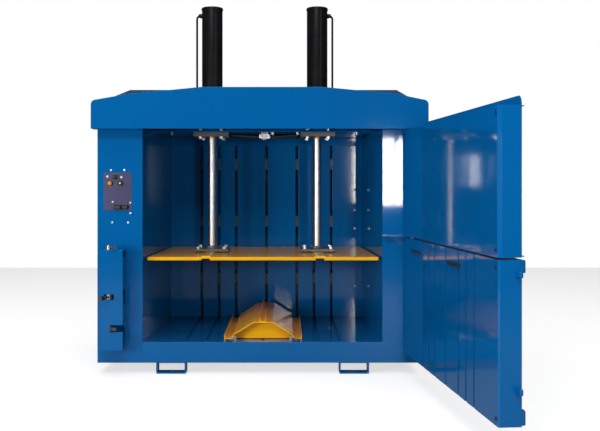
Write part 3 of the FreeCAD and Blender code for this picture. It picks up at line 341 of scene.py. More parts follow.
def blendColours(tree, mask, first, second):
    node = tree.nodes.new("ShaderNodeMix")
    node.data_type = "RGBA"
    tree.links.new(mask, node.inputs["Factor"])
    for socket, value in ((node.inputs[6], first), (node.inputs[7], second)):
        if isinstance(value, tuple):
            socket.default_value = (*value, 1)
        else:
            tree.links.new(value, socket)
    return node.outputs[2]


def bumpFrom(tree, height, shader, strength=1.0, distance=1.0):
    node = tree.nodes.new("ShaderNodeBump")
    node.inputs["Strength"].default_value = strength
    node.inputs["Distance"].default_value = distance
    tree.links.new(height, node.inputs["Height"])
    tree.links.new(node.outputs[0], shader.inputs["Normal"])


dustColour = (0.32, 0.31, 0.29)


def glossPaint(name, look):
    # sprayed enamel: film, dust, a painted highlight along the edges and chipped corners over the base
    # colour, orange peel in the gloss
    material, tree, shader = startFinish(name, look["colour"], 0.0, look["roughness"],
                                         Specular_IOR_Level=look["specular"], Coat_Roughness=0.05)
    marks = useGroup(tree, handling, Cloud_Size=look["cloud"], Streak_Size=34.0)
    wearAndHighlight = useGroup(tree, edgeWear, Reach=look["reach"], Break_Size=70.0, Amount=look["wear"])
    skin = useGroup(tree, paintSkin, Peel=look["peel"], Wave=look["wave"])
    base = blendColours(tree, marks["Film"], look["colour"], look["second"])
    # the lighter colour blended in along every edge here is a painted highlight, not wear
    base = blendColours(tree, mathNode(tree, "MULTIPLY", wearAndHighlight["Rim"], look["rim"]), base, look["light"])
    base = blendColours(tree, wearAndHighlight["Mask"], base, look["under"])
    dusty = mathNode(tree, "MULTIPLY", marks["Dust"], look["dust"])
    base = blendColours(tree, dusty, base, dustColour)
    tree.links.new(base, shader.inputs["Base Color"])
    dull = mathNode(tree, "MULTIPLY", marks["Film"], 0.03)
    dull = mathNode(tree, "ADD", dull, mathNode(tree, "MULTIPLY", marks["Streaks"], look["rub"]))
    dull = mathNode(tree, "ADD", dull, mathNode(tree, "MULTIPLY", marks["Dust"], 0.25))
    dull = mathNode(tree, "ADD", dull, mathNode(tree, "MULTIPLY", wearAndHighlight["Mask"], 0.3))
    tree.links.new(mathNode(tree, "ADD", dull, look["roughness"]), shader.inputs["Roughness"])
    bumpFrom(tree, skin["Height"], shader)
    return material


def bareMetal(name, look):
    # turned, drawn or plated metal with fine lines and stains
    material, tree, shader = startFinish(name, look["colour"], 1.0, look["roughness"])
    lines = useGroup(tree, tooling, Line_Size=look["lines"], Along=look["along"])
    wearAndHighlight = useGroup(tree, edgeWear, Reach=0.002, Break_Size=120.0, Amount=1.0)
    stained = mathNode(tree, "MULTIPLY", lines["Stain"], look["stain"])
    base = blendColours(tree, stained, look["colour"], look["second"])
    base = blendColours(tree, wearAndHighlight["Mask"], base, look["bright"])
    tree.links.new(base, shader.inputs["Base Color"])
    rough = mathNode(tree, "MULTIPLY", lines["Lines"], look["grain"])
    rough = mathNode(tree, "ADD", rough, look["roughness"])
    rough = mathNode(tree, "ADD", rough, mathNode(tree, "MULTIPLY", lines["Stain"], look["grain"]))
    tree.links.new(rough, shader.inputs["Roughness"])
    bumpFrom(tree, lines["Lines"], shader, 1.0, look["depth"])
    return material


def moulded(name, look):
    # a moulded plastic with a faint grain
    material, tree, shader = startFinish(name, look["colour"], 0.0, look["roughness"])
    marks = useGroup(tree, handling, Cloud_Size=20.0, Streak_Size=200.0)
    wearAndHighlight = useGroup(tree, edgeWear, Reach=0.0015, Break_Size=200.0, Amount=0.6)
    skin = useGroup(tree, paintSkin, Peel_Size=1500.0, Peel=look["peel"], Wave=0.0)
    base = blendColours(tree, marks["Film"], look["colour"], look["second"])
    base = blendColours(tree, wearAndHighlight["Mask"], base, look["light"])
    tree.links.new(base, shader.inputs["Base Color"])
    rough = mathNode(tree, "ADD", mathNode(tree, "MULTIPLY", marks["Film"], 0.12), look["roughness"])
    rough = mathNode(tree, "ADD", rough, mathNode(tree, "MULTIPLY", marks["Dust"], 0.2))
    tree.links.new(rough, shader.inputs["Roughness"])
    bumpFrom(tree, skin["Height"], shader)
    return material


# in the paints, "light" is the colour of the painted edge highlight and "rim" how strongly it is laid on; in
# the plastics, "light" is the colour of worn edges
bluePaint = {"colour": (0.0006, 0.116, 0.36), "second": (0.0006, 0.108, 0.33),
             "light": (0.008, 0.19, 0.52), "under": (0.10, 0.17, 0.26), "roughness": 0.045,
             "specular": 0.34, "cloud": 1.6, "reach": 0.003, "rim": 0.35, "wear": 0.35, "dust": 0.06,
             "rub": 0.04, "peel": 0.000003, "wave": 0.00005}
yellowPaint = {"colour": (0.98, 0.47, 0.001), "second": (0.92, 0.43, 0.001), "light": (1.0, 0.58, 0.01),
               "under": (0.30, 0.22, 0.12), "roughness": 0.16, "specular": 0.26, "cloud": 2.4,
               "reach": 0.003, "rim": 0.3, "wear": 0.6, "dust": 0.05, "rub": 0.14, "peel": 0.000006,
               "wave": 0.00010}
blackPaint = {"colour": (0.006, 0.006, 0.007), "second": (0.010, 0.010, 0.011),
              "light": (0.03, 0.03, 0.032), "under": (0.12, 0.12, 0.12), "roughness": 0.22,
              "specular": 0.12, "cloud": 5.0, "reach": 0.003, "rim": 0.3, "wear": 0.5, "dust": 0.02,
              "rub": 0.06, "peel": 0.000008, "wave": 0.00002}
greyPaint = {"colour": (0.12, 0.115, 0.11), "second": (0.085, 0.08, 0.075), "light": (0.34, 0.29, 0.23),
             "under": (0.22, 0.16, 0.10), "roughness": 0.30, "specular": 0.5, "cloud": 4.0,
             "reach": 0.003, "rim": 0.3, "wear": 0.7, "dust": 0.3, "rub": 0.1, "peel": 0.00002,
             "wave": 0.0001}
violetPaint = {"colour": (0.040, 0.036, 0.118), "second": (0.032, 0.029, 0.100),
               "light": (0.09, 0.08, 0.2), "under": (0.25, 0.25, 0.28), "roughness": 0.33,
               "specular": 0.4, "cloud": 14.0, "reach": 0.0015, "rim": 0.4, "wear": 0.5, "dust": 0.1,
               "rub": 0.08, "peel": 0.000006, "wave": 0.00003}
chromePlate = {"colour": (0.62, 0.585, 0.54), "second": (0.50, 0.46, 0.41), "bright": (0.8, 0.78, 0.74),
               "roughness": 0.30, "lines": 500.0, "along": 1.0, "stain": 0.2, "grain": 0.06,
               "depth": 0.0000015}
plainSteel = {"colour": (0.40, 0.39, 0.375), "second": (0.20, 0.17, 0.14), "bright": (0.75, 0.74, 0.72),
              "roughness": 0.26, "lines": 900.0, "along": 0.05, "stain": 0.5, "grain": 0.16,
              "depth": 0.00002}
zincPlate = {"colour": (0.84, 0.83, 0.80), "second": (0.64, 0.62, 0.58), "bright": (0.95, 0.94, 0.92),
             "roughness": 0.24, "lines": 700.0, "along": 0.6, "stain": 0.4, "grain": 0.14,
             "depth": 0.00001}
bronzeMetal = {"colour": (0.48, 0.30, 0.12), "second": (0.22, 0.13, 0.06), "bright": (0.8, 0.58, 0.32),
               "roughness": 0.28, "lines": 900.0, "along": 0.4, "stain": 0.5, "grain": 0.15,
               "depth": 0.00001}
blackPlastic = {"colour": (0.005, 0.005, 0.0055), "second": (0.009, 0.009, 0.009),
                "light": (0.03, 0.03, 0.03), "roughness": 0.34, "peel": 0.00002}
amberPlastic = {"colour": (0.60, 0.24, 0.003), "second": (0.50, 0.19, 0.003), "light": (0.8, 0.42, 0.06),
                "roughness": 0.3, "peel": 0.000004}
whitePlastic = {"colour": (0.78, 0.79, 0.74), "second": (0.68, 0.70, 0.62), "light": (0.9, 0.9, 0.88),
                "roughness": 0.2, "peel": 0.000004}

finishes = {
    "blue_paint": glossPaint("bluePaint", bluePaint),
    "yellow_paint": glossPaint("yellowPaint", yellowPaint),
    "black_paint": glossPaint("blackPaint", blackPaint),
    "grey_paint": glossPaint("greyPaint", greyPaint),
    "violet_panel": glossPaint("violetPanel", violetPaint),
    "chrome": bareMetal("chromePlate", chromePlate),
    "steel": bareMetal("plainSteel", plainSteel),
    "zinc": bareMetal("zincPlate", zincPlate),
    "bronze": bareMetal("bronzeMetal", bronzeMetal),
    "black_plastic": moulded("blackPlastic", blackPlastic),
    "amber_plastic": moulded("amberPlastic", amberPlastic),
    "white_plastic": moulded("whitePlastic", whitePlastic),
}
for name, node in nodes.items():
    node.data.materials[0] = finishes[slotOf[name]]
print("finishes made:", len(finishes))


# how far each sheet or plate has its edges rounded, in metres

sheetEdges = {
    "canopy": 0.0022, "left_column": 0.0016, "right_column": 0.0016, "front_sill": 0.0018,
    "platen": 0.0035, "ejector_plate": 0.0018, "upper_door_tray": 0.0015, "upper_door_skin": 0.0013,
    "lower_door_skin": 0.0013, "lower_door_frame": 0.0018, "lower_door_slats": 0.0010,
    "lower_door_beams": 0.0030, "latch_housing": 0.0014, "fork_loops": 0.0022, "rear_cover": 0.0012,
    "roof_panel": 0.0012, "left_wall": 0.0012, "right_wall": 0.0012, "back_slats": 0.0012,
    "back_rails": 0.0030, "base_frame": 0.0030, "corner_posts": 0.0030, "side_ties": 0.0030,
    "cross_beams": 0.0030, "cylinder_flanges": 0.0020, "rod_feet": 0.0018, "hinge_plates": 0.0012,
    "control_plate": 0.0006, "latch_bearings": 0.0010, "latch_lever": 0.0012, "ejector_end": 0.0012,
    "control_cabinet": 0.0015, "oil_tank": 0.0030, "pack_shelf": 0.0012, "valve_block": 0.0020,
    "pump": 0.0030, "pump_motor": 0.0030, "ejector_brackets": 0.0012,
}
# nodes that take another finish than their slot in the CAD
otherSlot = {"cylinder_flanges": "grey_paint", "rod_feet": "grey_paint"}


def softenNode(name, width):
    # a merged copy of the sheet with its real rounded edges, in place of the sharp one
    piece = nodes[name].copy()
    piece.data = nodes[name].data.copy()
    piece.parent = None
    for key in list(piece.keys()):
        del piece[key]
    bpy.context.scene.collection.objects.link(piece)
    words = name.split("_")
    piece.name = words[0] + "".join(word.capitalize() for word in words[1:]) + "Sheet"
    pickOnly(piece)
    bpy.ops.mesh.customdata_custom_splitnormals_clear()
    bpy.ops.object.mode_set(mode="EDIT")
    bpy.ops.mesh.select_all(action="SELECT")
    bpy.ops.mesh.remove_doubles(threshold=0.00001)
    bpy.ops.mesh.dissolve_limited(angle_limit=math.radians(0.4))
    leaveEdit()
    roundEdges(piece, width)
    return fit(piece, otherSlot.get(name, slotOf[name]), bodyOf[name], name)


for name, width in sheetEdges.items():
    softenNode(name, width)
print("sheet pieces rounded:", len(sheetEdges))


# fasteners, modelled once and copied

def domedHead(name, radius, height, sides=20):
    head = drum(name, (0, 0, height / 2), radius, height, sides=sides)
    editFaces(head, lambda centre, normal: normal.z > 0.9)
    bpy.ops.mesh.inset(thickness=radius * 0.22, depth=height * 0.22)
    bpy.ops.mesh.inset(thickness=radius * 0.3, depth=height * 0.12)
    bpy.ops.mesh.inset(thickness=radius * 0.12, depth=-height * 0.4)
    leaveEdit()
    return head


outward = {"front": (math.radians(90), 0, 0), "back": (math.radians(-90), 0, 0), "up": (0, 0, 0),
           "down": (math.radians(180), 0, 0), "left": (0, math.radians(-90), 0),
           "right": (0, math.radians(90), 0)}
domePattern = domedHead("domePattern", radius=0.0075, height=0.005)
nutPattern = domedHead("nutPattern", radius=0.0085, height=0.011)


# cylinders: fittings on the side pipes, cap welds and the line across

low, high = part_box("cylinder_tubes")
tubeRadius = 0.0565
tubeX, tubeY = high.x - tubeRadius, (low.y + high.y) / 2
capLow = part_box("cylinder_caps")[0]
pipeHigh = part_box("hydraulic_pipes")[1]
pipeRadius = 0.0055
fittings = {"bossRadius": 0.0125, "bossLength": 0.012, "bossOut": 0.004, "nutFlats": 0.019,
            "nutLength": 0.009, "nutOut": 0.0135, "hoseRadius": 0.0105, "flangeHalf": 0.093, "hoseGap": 0.012}
cylinderWelds = {"tubeHeight": 1.3505, "capGap": 0.0005, "tubeGap": 0.0015, "rodRadius": 0.0315,
                 "rodBead": 0.0018, "rodParts": 40}


def tubeFittings(side):
    # the turned boss and nut where a side pipe enters its tube
    portZ = pipeHigh.z - pipeRadius
    skin = tubeX + tubeRadius
    boss = drum("portBoss", (side * (skin + fittings["bossOut"]), tubeY, portZ), fittings["bossRadius"],
                fittings["bossLength"], outward["right"])
    nut = drum("portNut", (side * (skin + fittings["nutOut"]), tubeY, portZ),
               fittings["nutFlats"] / math.sqrt(3), fittings["nutLength"], outward["right"], 6)
    for piece, rim in ((boss, 0.002), (nut, 0.0015)):
        editFaces(piece, lambda centre, normal: abs(normal.x) > 0.9)
        bpy.ops.mesh.inset(thickness=rim, depth=0.001)
        leaveEdit()
    return joined("pipeFittings" + ("Right" if side > 0 else "Left"), [boss, nut])


for side in (-1, 1):
    fit(tubeFittings(side), "black_paint", "body")


def weldRing(name, place, radius, thickness=0.003, around=56, across=6):
    # a ring of overlapping weld ripples
    deselectAll()
    bpy.ops.mesh.primitive_torus_add(location=place, major_radius=radius, minor_radius=thickness,
                                     major_segments=around, minor_segments=across)
    ring = bpy.context.object
    settle(ring, name)
    centre = Vector(place)
    step = 2 * math.pi / around

    def everySecond(spot, normal):
        return int(math.atan2(spot.y - centre.y, spot.x - centre.x) / step + around) % 2 == 0

    editFaces(ring, everySecond)
    bpy.ops.transform.shrink_fatten(value=-thickness * 0.22)
    leaveEdit()
    pickOnly(ring)
    bpy.ops.object.shade_smooth()
    return ring


rings = []
for side in (-1, 1):
    rings.append(weldRing("capWeld", (side * tubeX, tubeY, capLow.z), tubeRadius + cylinderWelds["capGap"]))
    rings.append(weldRing("tubeWeld", (side * tubeX, tubeY, cylinderWelds["tubeHeight"]),
                          tubeRadius + cylinderWelds["tubeGap"]))
fit(joined("capWelds", rings), "black_paint", "body")

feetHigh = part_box("rod_feet")[1]
rodRings = [weldRing("rodWeld", (side * tubeX, tubeY, feetHigh.z), cylinderWelds["rodRadius"],
                     cylinderWelds["rodBead"], cylinderWelds["rodParts"]) for side in (-1, 1)]
fit(joined("rodFootWelds", rodRings), "blue_paint", "press")
print("press details done")

flangeLow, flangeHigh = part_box("cylinder_flanges")
lineZ = (flangeLow.z + flangeHigh.z) / 2


def ceilingHose():
    # the braided feed line that hangs a little between the two cylinder heads
    reach = tubeX - fittings["flangeHalf"] - fittings["hoseGap"]
    spots = [(share * reach, drop) for share, drop in
             ((-1, 0), (-0.82, -0.001), (-0.5, -0.007), (0, -0.011), (0.5, -0.007), (0.82, -0.001), (1, 0))]
    data = bpy.data.curves.new("ceilingHose", "CURVE")
    data.dimensions = "3D"
    data.bevel_depth = fittings["hoseRadius"]
    data.bevel_resolution = 4
    line = data.splines.new("NURBS")
    line.points.add(len(spots) - 1)
    for point, (x, drop) in zip(line.points, spots):
        point.co = (x, tubeY, lineZ + drop, 1)
    line.order_u = 4
    line.use_endpoint_u = True
    hose = bpy.data.objects.new("ceilingHose", data)
    bpy.context.scene.collection.objects.link(hose)
    pickOnly(hose)
    bpy.ops.object.convert(target="MESH")
    bpy.ops.object.shade_smooth()
    return bpy.context.object


fit(ceilingHose(), "black_plastic", "body")


tee = {"halfWidth": 0.020, "halfDepth": 0.016, "below": 0.020, "above": 0.010, "middle": 0.005,
       "studRadius": 0.009, "studLength": 0.010, "studFront": 0.004, "studBelow": 0.022}


def teeFitting():
    # the cast tee in the middle of the line, with a hexagon stud under it
    body = block("teeFitting", (-tee["halfWidth"], tubeY - tee["halfDepth"], lineZ - tee["below"]),
                 (tee["halfWidth"], tubeY + tee["halfDepth"], lineZ + tee["above"]))
    editFaces(body, lambda centre, normal: abs(normal.x) > 0.9)
    bpy.ops.mesh.inset(thickness=0.004)
    bpy.ops.mesh.extrude_region_move(TRANSFORM_OT_translate={"value": (0, 0, 0)})
    bpy.ops.transform.resize(value=(1.5, 0.9, 0.9), center_override=(0, tubeY, lineZ - tee["middle"]))
    leaveEdit()
    roundEdges(body, 0.0015)
    stud = drum("teeStud", (0, tubeY - tee["studFront"], lineZ - tee["studBelow"]), tee["studRadius"],
                tee["studLength"], (0, 0, 0), 6)
    return joined("teeFitting", [body, stud])


fit(teeFitting(), "zinc", "body")

ceiling = {"height": 1.2298,
           "places": ((-0.20, 0.06), (0.18, 0.06), (-0.20, -0.11), (0.18, -0.11), (0.045, -0.11),
                      (-0.50, -0.11), (0.50, -0.11), (-0.10, 0.02), (0.10, 0.02))}
ceilingSpots = [(x, y, ceiling["height"]) for x, y in ceiling["places"]]
fit(copiesOf(nutPattern, "ceilingBolts", ceilingSpots, outward["down"]), "zinc", "body")
print("cylinder fittings done")


# chamber: wall bolts, black strips of painted shade in the strap slots, jamb strip and welds

seatDepth = 0.0002
chamber = {"back": 0.410, "boltX": 0.528, "boltHeights": (0.917, 0.797, 0.687, 0.343)}
cornerSpots = [(chamber["boltX"], chamber["back"] + seatDepth, z) for z in chamber["boltHeights"]]
fit(copiesOf(domePattern, "wallBolts", cornerSpots, outward["front"]), "zinc", "body")

slots = {"lines": (-0.386, -0.283, -0.181, 0.0, 0.181, 0.283, 0.386), "width": 0.0156,
         "ribs": (0.360, 0.700, 1.040), "ribHeight": 0.060, "overlap": 0.004,
         "front": 0.4125, "back": 0.4155}


def slotLiner(x, z):
    # a black strip on the rib behind a strap slot, painted shade so that the slot reads dark all along, with
    # its top and bottom ends sloped back
    shadeStrip = block("slotLiner", (x - slots["width"] / 2, slots["front"], z - slots["overlap"]),
                  (x + slots["width"] / 2, slots["back"], z + slots["ribHeight"] + slots["overlap"]))
    editFaces(shadeStrip, lambda centre, normal: normal.y < -0.9)
    bpy.ops.transform.resize(value=(0.9, 1, 0.94))
    leaveEdit()
    return shadeStrip


# black strips that stand in for the shade seen through the strap slots where the ribs cross them
shadeStrips = [slotLiner(x, z) for z in slots["ribs"] for x in slots["lines"]]
fit(joined("slotLiners", shadeStrips), "black_plastic", "body")


jamb = {"low": (0.6015, -0.4775, 1.168), "high": (0.676, -0.4745, 1.221), "middle": (0.639, -0.476, 1.168)}


def jambStrip():
    # the folded hem of the beam, which comes down over the top of the jamb
    strip = block("jambStrip", jamb["low"], jamb["high"])
    editFaces(strip, lambda centre, normal: normal.z < -0.9)
    bpy.ops.transform.resize(value=(0.985, 1, 1), center_override=jamb["middle"])
    leaveEdit()
    return roundEdges(strip, 0.0005)


fit(jambStrip(), "blue_paint", "body")


def bead(name, start, end, radius=0.004, pitch=0.006):
    # a straight weld: a six-sided bar cut into rings, every second ring swollen
    a, b = Vector(start), Vector(end)
    length = (b - a).length
    cuts = max(2, int(length / pitch))
    bar = drum(name, (0, 0, 0), radius, length, sides=6)
    editEdges(bar, lambda p, q: abs(p.z - q.z) > length / 2)
    bpy.ops.mesh.subdivide(number_cuts=cuts - 1)
    leaveEdit()
    step = length / cuts
    pickOnly(bar)
    bpy.ops.object.mode_set(mode="EDIT")
    bpy.ops.mesh.select_mode(type="VERT")
    bpy.ops.mesh.select_all(action="DESELECT")
    bpy.ops.object.mode_set(mode="OBJECT")
    for vertex in bar.data.vertices:
        vertex.select = round((vertex.co.z + length / 2) / step) % 2 == 1
    bpy.ops.object.mode_set(mode="EDIT")
    bpy.ops.transform.shrink_fatten(value=radius * 0.28)
    leaveEdit()
    bpy.ops.object.shade_smooth()
    bar.rotation_euler = (b - a).to_track_quat("Z", "Y").to_euler()
    bar.location = (a + b) / 2
    return settle(bar)


loopLow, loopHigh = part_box("fork_loops")
seams = {"loopX": 0.458, "loopHalf": 0.070, "loopInset": 0.004, "loopLift": 0.0005, "loopRadius": 0.003,
         "sillRadius": 0.0022, "sillHeights": (0.175, 0.62),
         "sills": (("sillWeldLeft", -0.602, -0.4745), ("sillWeldRight", 0.600, -0.4735))}
welds = []
for side in (-1, 1):
    for y in (loopLow.y + seams["loopInset"], loopHigh.y - seams["loopInset"]):
        z = loopHigh.z + seams["loopLift"]
        middle = side * seams["loopX"]
        welds.append(bead("loopWeld", (middle - seams["loopHalf"], y, z), (middle + seams["loopHalf"], y, z),
                          seams["loopRadius"]))
sillLow, sillHigh = seams["sillHeights"]
for name, x, y in seams["sills"]:
    welds.append(bead(name, (x, y, sillLow), (x, y, sillHigh), seams["sillRadius"]))
fit(joined("frameWelds", welds), "blue_paint", "body")

hingeLow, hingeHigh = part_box("hinge_plates")
leaf = {"face": -0.4752, "far": 0.735, "radius": 0.0013}
leafSeams = ((0.702, hingeLow.z + 0.009), (0.702, hingeHigh.z - 0.0062), (0.606, 0.6935))
leafWelds = [bead("leafWeld", (near, leaf["face"], z), (leaf["far"], leaf["face"], z), leaf["radius"])
             for near, z in leafSeams]
fit(joined("hingeWelds", leafWelds), "blue_paint", "body")
print("chamber details done")


# doors

hinge = Vector((0.746, -0.519, 0))
openAngle = math.radians(95.4)
along = Vector((-math.cos(openAngle), -math.sin(openAngle), 0))
inward = Vector((-math.sin(openAngle), math.cos(openAngle), 0))
faceDepth = 0.040


def onDoor(u, t, z):
    # u runs from the hinge to the free end, t from the chamber face outwards
    spot = hinge + along * u + inward * (faceDepth - t)
    return (spot.x, spot.y, z)


def hangOnDoor(piece):
    piece.rotation_euler = (0, 0, math.atan2(along.y, along.x))
    piece.location = onDoor(0, 0, 0)
    return settle(piece)


def strapHook(near, far, z):
    # a black bar with a turned-down lip that the loose strap ends are tucked behind
    bar = block("strapHook", (near, -0.005, z - 0.006), (far, 0.0, z + 0.006))
    editFaces(bar, lambda centre, normal: normal.y < -0.9)
    bpy.ops.mesh.inset(thickness=0.003)
    bpy.ops.mesh.extrude_region_move(TRANSFORM_OT_translate={"value": (0, -0.006, -0.002)})
    bpy.ops.mesh.inset(thickness=0.001)
    bpy.ops.mesh.extrude_region_move(TRANSFORM_OT_translate={"value": (0, -0.002, -0.001)})
    leaveEdit()
    return roundEdges(bar, 0.0008)


hookSpans = ((0.158, 0.32, 0.631), (0.78, 0.965, 0.629))
hooks = hangOnDoor(joined("strapHooks", [strapHook(*span) for span in hookSpans]))
fit(hooks, "black_plastic", "lower_door")


tabs = {"low": (1.385, 0.078), "high": (1.408, 0.092), "half": 0.0015, "heights": (1.2125, 0.6985)}


def cornerTab(z):
    # a small folded tab at the free end of the upper door
    tab = block("cornerTab", (*tabs["low"], z - tabs["half"]), (*tabs["high"], z + tabs["half"]))
    return hangOnDoor(roundEdges(tab, 0.0006))


fit(joined("cornerTabs", [cornerTab(z) for z in tabs["heights"]]), "blue_paint", "upper_door")
print("door details done")


# control plate: blank labels, lenses, caps, knob, screws and switch

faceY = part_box("control_plate")[0].y
columnFace = -0.475
controls = {"stop": (-0.763, 0.953), "start": (-0.711, 0.954), "knob": (-0.737, 0.985),
            "lamps": ((-0.775, 0.987), (-0.705, 0.984)), "lampRadius": 0.0058,
            "labels": ((-0.7395, 1.0, 0.020, 0.0045), (-0.762, 0.937, 0.016, 0.004),
                       (-0.711, 0.937, 0.010, 0.004)),
            "facePlaces": ((-0.758, 1.019), (-0.691, 1.019), (-0.661, 0.804), (-0.751, 0.757),
                           (-0.672, 0.757)),
            "platePlaces": ((-0.748, 0.860), (-0.661, 0.856))}


def labelPlate(x, z, width, height):
    plate = block("labelPlate", (x - width / 2, faceY - 0.0008, z - height / 2),
                  (x + width / 2, faceY + 0.0002, z + height / 2))
    editEdges(plate, lambda a, b: abs(a.y - b.y) > 0.0005)
    bpy.ops.mesh.bevel(offset=0.0015, segments=3, affect="EDGES")
    leaveEdit()
    return plate


fit(joined("labelPlates", [labelPlate(*label) for label in controls["labels"]]), "grey_paint", "body")


def crownedDrum(name, spot, back, radius, depth, dome, sides=40):
    # a round head that stands out of the plate and ends in a low crown
    head = drum(name, (spot[0], back - depth / 2, spot[1]), radius, depth, outward["front"], sides)
    editFaces(head, lambda centre, normal: normal.y < -0.9)
    bpy.ops.mesh.inset(thickness=radius * 0.14, depth=dome * 0.6)
    bpy.ops.mesh.inset(thickness=radius * 0.3, depth=dome * 0.3)
    bpy.ops.mesh.inset(thickness=radius * 0.3, depth=dome * 0.1)
    leaveEdit()
    pickOnly(head)
    bpy.ops.object.shade_smooth_by_angle(angle=math.radians(40))
    return head


def outerFace(node):
    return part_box(node)[0].y


stopFace, startFace = outerFace("stop_button"), outerFace("start_button")
bezelFace = outerFace("button_bezels")
stopCap = crownedDrum("stopCap", controls["stop"], stopFace + 0.001, radius=0.0108, depth=0.005, dome=0.004)
fit(stopCap, "amber_plastic", "stop_push")
startCap = crownedDrum("startCap", controls["start"], startFace + 0.001, radius=0.0100, depth=0.003,
                       dome=0.002)
fit(startCap, "black_plastic", "start_push")
startEye = crownedDrum("startEye", controls["start"], startFace - 0.0035, radius=0.0042, depth=0.001,
                       dome=0.001, sides=24)
fit(startEye, "white_plastic", "start_push")
lenses = [crownedDrum("lampLens", spot, faceY, controls["lampRadius"], depth=0.004, dome=0.003, sides=28)
          for spot in controls["lamps"]]
fit(joined("lampLenses", lenses), "white_plastic", "body", "lamps")


def roundKnob():
    # the selector: a round skirt with a raised finger grip across it
    x, z = controls["knob"]
    skirt = crownedDrum("knobSkirt", (x, z), bezelFace, radius=0.0112, depth=0.006, dome=0.002)
    grip = block("knobGrip", (x - 0.0032, bezelFace - 0.013, z - 0.0092),
                 (x + 0.0032, bezelFace - 0.005, z + 0.0092))
    editFaces(grip, lambda centre, normal: normal.y < -0.9)
    bpy.ops.transform.resize(value=(0.6, 1, 0.86))
    leaveEdit()
    return joined("roundKnob", [skirt, roundEdges(grip, 0.001)])


fit(roundKnob(), "black_plastic", "selector", "selector_knob")

screwPattern = domedHead("screwPattern", radius=0.0052, height=0.0042)
screwSpots = [(x, columnFace, z) for x, z in controls["facePlaces"]]
screwSpots += [(x, faceY, z) for x, z in controls["platePlaces"]]
fit(copiesOf(screwPattern, "faceScrews", screwSpots, outward["front"]), "zinc", "body", "front_screws")


def switchLobe(name, left, right, bottom, top, depth):
    # one soft rounded half of the interlock switch
    lobe = block(name, (left, faceY - depth, bottom), (right, faceY, top))
    editFaces(lobe, lambda centre, normal: normal.y < -0.9)
    bpy.ops.transform.resize(value=(0.72, 1, 0.7))
    leaveEdit()
    editEdges(lobe, lambda a, b: abs(a.y - b.y) > depth * 0.5)
    bpy.ops.mesh.bevel(offset=(top - bottom) * 0.34, segments=5, affect="EDGES")
    leaveEdit()
    return roundEdges(lobe, 0.0022, 3)


switch = {"bodyWidth": 0.041, "overlap": 0.003, "headInset": 0.001, "headBack": 0.002}


def doorSwitch():
    low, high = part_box("door_switch")
    split = low.x + switch["bodyWidth"]
    body = switchLobe("switchBody", low.x, split + switch["overlap"], low.z, high.z, faceY - low.y)
    head = switchLobe("switchHead", split - switch["overlap"], high.x, low.z + switch["headInset"],
                      high.z - switch["headInset"], faceY - low.y - switch["headBack"])
    return joined("doorSwitch", [body, head])


fit(doorSwitch(), "black_plastic", "body", "door_switch")
print("control details done")


# rear cover: screws along its top and bottom edges

rearLow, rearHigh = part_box("rear_cover")
rearRows = {"rise": 0.02, "edge": 0.03, "gaps": 6}
rearSpan = rearHigh.x - rearLow.x - 2 * rearRows["edge"]
rearLine = [rearLow.x + rearRows["edge"] + i * rearSpan / rearRows["gaps"]
            for i in range(rearRows["gaps"] + 1)]
rearSpots = [(x, rearHigh.y - seatDepth, z)
             for z in (rearLow.z + rearRows["rise"], rearHigh.z - rearRows["rise"]) for x in rearLine]
fit(copiesOf(domePattern, "rearScrews", rearSpots, outward["back"]), "zinc", "body")
print("rear details done")

for pattern in (domePattern, nutPattern, screwPattern):
    bpy.data.objects.remove(pattern)


# floor, lights and camera

studio = {"middle": (0, -1.0, 0), "size": (24, 13, 1), "darkTone": (0.58, 0.58, 0.58),
          "lightTone": (0.61, 0.61, 0.61), "litTone": (0.26, 0.26, 0.26), "floorGlow": (0.05, 0.66),
          "skyGlow": (0.04, 1.0)}
deselectAll()
bpy.ops.mesh.primitive_plane_add(size=1, location=studio["middle"])
floor = bpy.context.object
floor.scale = studio["size"]
settle(floor, "studioFloor")
floorFinish, floorTree, floorShader = startFinish("studioFloorFinish", (0.60, 0.60, 0.60), 0.0, 0.55)
floorTone = noiseNode(floorTree, floorTree.nodes.new("ShaderNodeTexCoord").outputs["Object"], 6.0, 4.0)
floorSeen = blendColours(floorTree, floorTone, studio["darkTone"], studio["lightTone"])
floorShader.inputs["Emission Color"].default_value = (1, 1, 1, 1)
floorRays = floorTree.nodes.new("ShaderNodeLightPath")
floorBase = blendColours(floorTree, floorRays.outputs["Is Camera Ray"], studio["litTone"], floorSeen)
floorTree.links.new(floorBase, floorShader.inputs["Base Color"])
floorLift = floorTree.nodes.new("ShaderNodeMapRange")
floorLift.inputs["To Min"].default_value, floorLift.inputs["To Max"].default_value = studio["floorGlow"]
floorTree.links.new(floorRays.outputs["Is Camera Ray"], floorLift.inputs["Value"])
floorTree.links.new(floorLift.outputs["Result"], floorShader.inputs["Emission Strength"])
floor.data.materials.append(floorFinish)

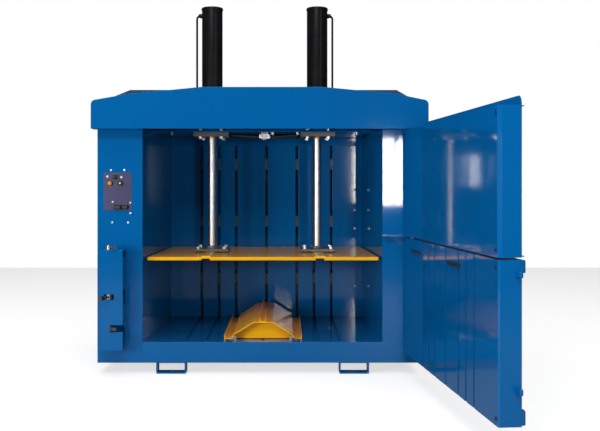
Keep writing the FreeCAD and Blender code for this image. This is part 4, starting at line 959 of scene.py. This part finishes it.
world = bpy.data.worlds.new("studio")
bpy.context.scene.world = world
world.use_nodes = True
worldTree = world.node_tree
backdrop = worldTree.nodes["Background"]
backdrop.inputs["Color"].default_value = (1, 1, 1, 1)
rays = worldTree.nodes.new("ShaderNodeLightPath")
glow = worldTree.nodes.new("ShaderNodeMapRange")
glow.inputs["To Min"].default_value, glow.inputs["To Max"].default_value = studio["skyGlow"]
worldTree.links.new(rays.outputs["Is Camera Ray"], glow.inputs["Value"])
worldTree.links.new(glow.outputs["Result"], backdrop.inputs["Strength"])

lamps = {
    "keyLight": {"place": (-0.7, -4.5, 3.5), "aim": (0.0, 0.2, 0.4), "size": (3.0, 1.4), "power": 92},
    "fillLight": {"place": (3.4, -4.0, 2.6), "aim": (0.0, -0.4, 0.8), "size": (1.6, 1.6), "power": 14},
    "sideLight": {"place": (-3.3, -4.4, 0.9), "aim": (0.2, 0.0, 0.45), "size": (1.0, 1.0), "power": 75},
    "boxLeft": {"place": (-2.30, -5.0, 1.14), "aim": (0.0, 0.0, 1.0), "size": (0.25, 0.38), "power": 20},
    "boxRight": {"place": (1.085, -5.2, 1.09), "aim": (0.6, 0.0, 1.1), "size": (0.27, 0.68), "power": 34},
    "topLight": {"place": (0.0, -0.5, 6.5), "aim": (0.0, -0.5, 0.0), "size": (9.0, 7.0), "power": 330},
}
for name, lamp in lamps.items():
    data = bpy.data.lights.new(name, "AREA")
    data.shape = "RECTANGLE"
    data.size, data.size_y = lamp["size"]
    data.energy = lamp["power"]
    light = bpy.data.objects.new(name, data)
    bpy.context.scene.collection.objects.link(light)
    light.location = lamp["place"]
    light.rotation_euler = (Vector(lamp["aim"]) - Vector(lamp["place"])).to_track_quat("-Z", "Y").to_euler()

viewpoint = {"place": (0.117, -5.005, 0.935), "lens": 54.36, "shift": (0.0233, -0.0475)}
cameraData = bpy.data.cameras.new("viewCamera")
cameraData.lens = viewpoint["lens"]
cameraData.sensor_width = 36.0
cameraData.shift_x, cameraData.shift_y = viewpoint["shift"]
camera = bpy.data.objects.new("viewCamera", cameraData)
bpy.context.scene.collection.objects.link(camera)
camera.location = viewpoint["place"]
camera.rotation_euler = (math.radians(90), 0, 0)
bpy.context.scene.camera = camera
bpy.context.scene.view_settings.view_transform = "Standard"
print("stage set")
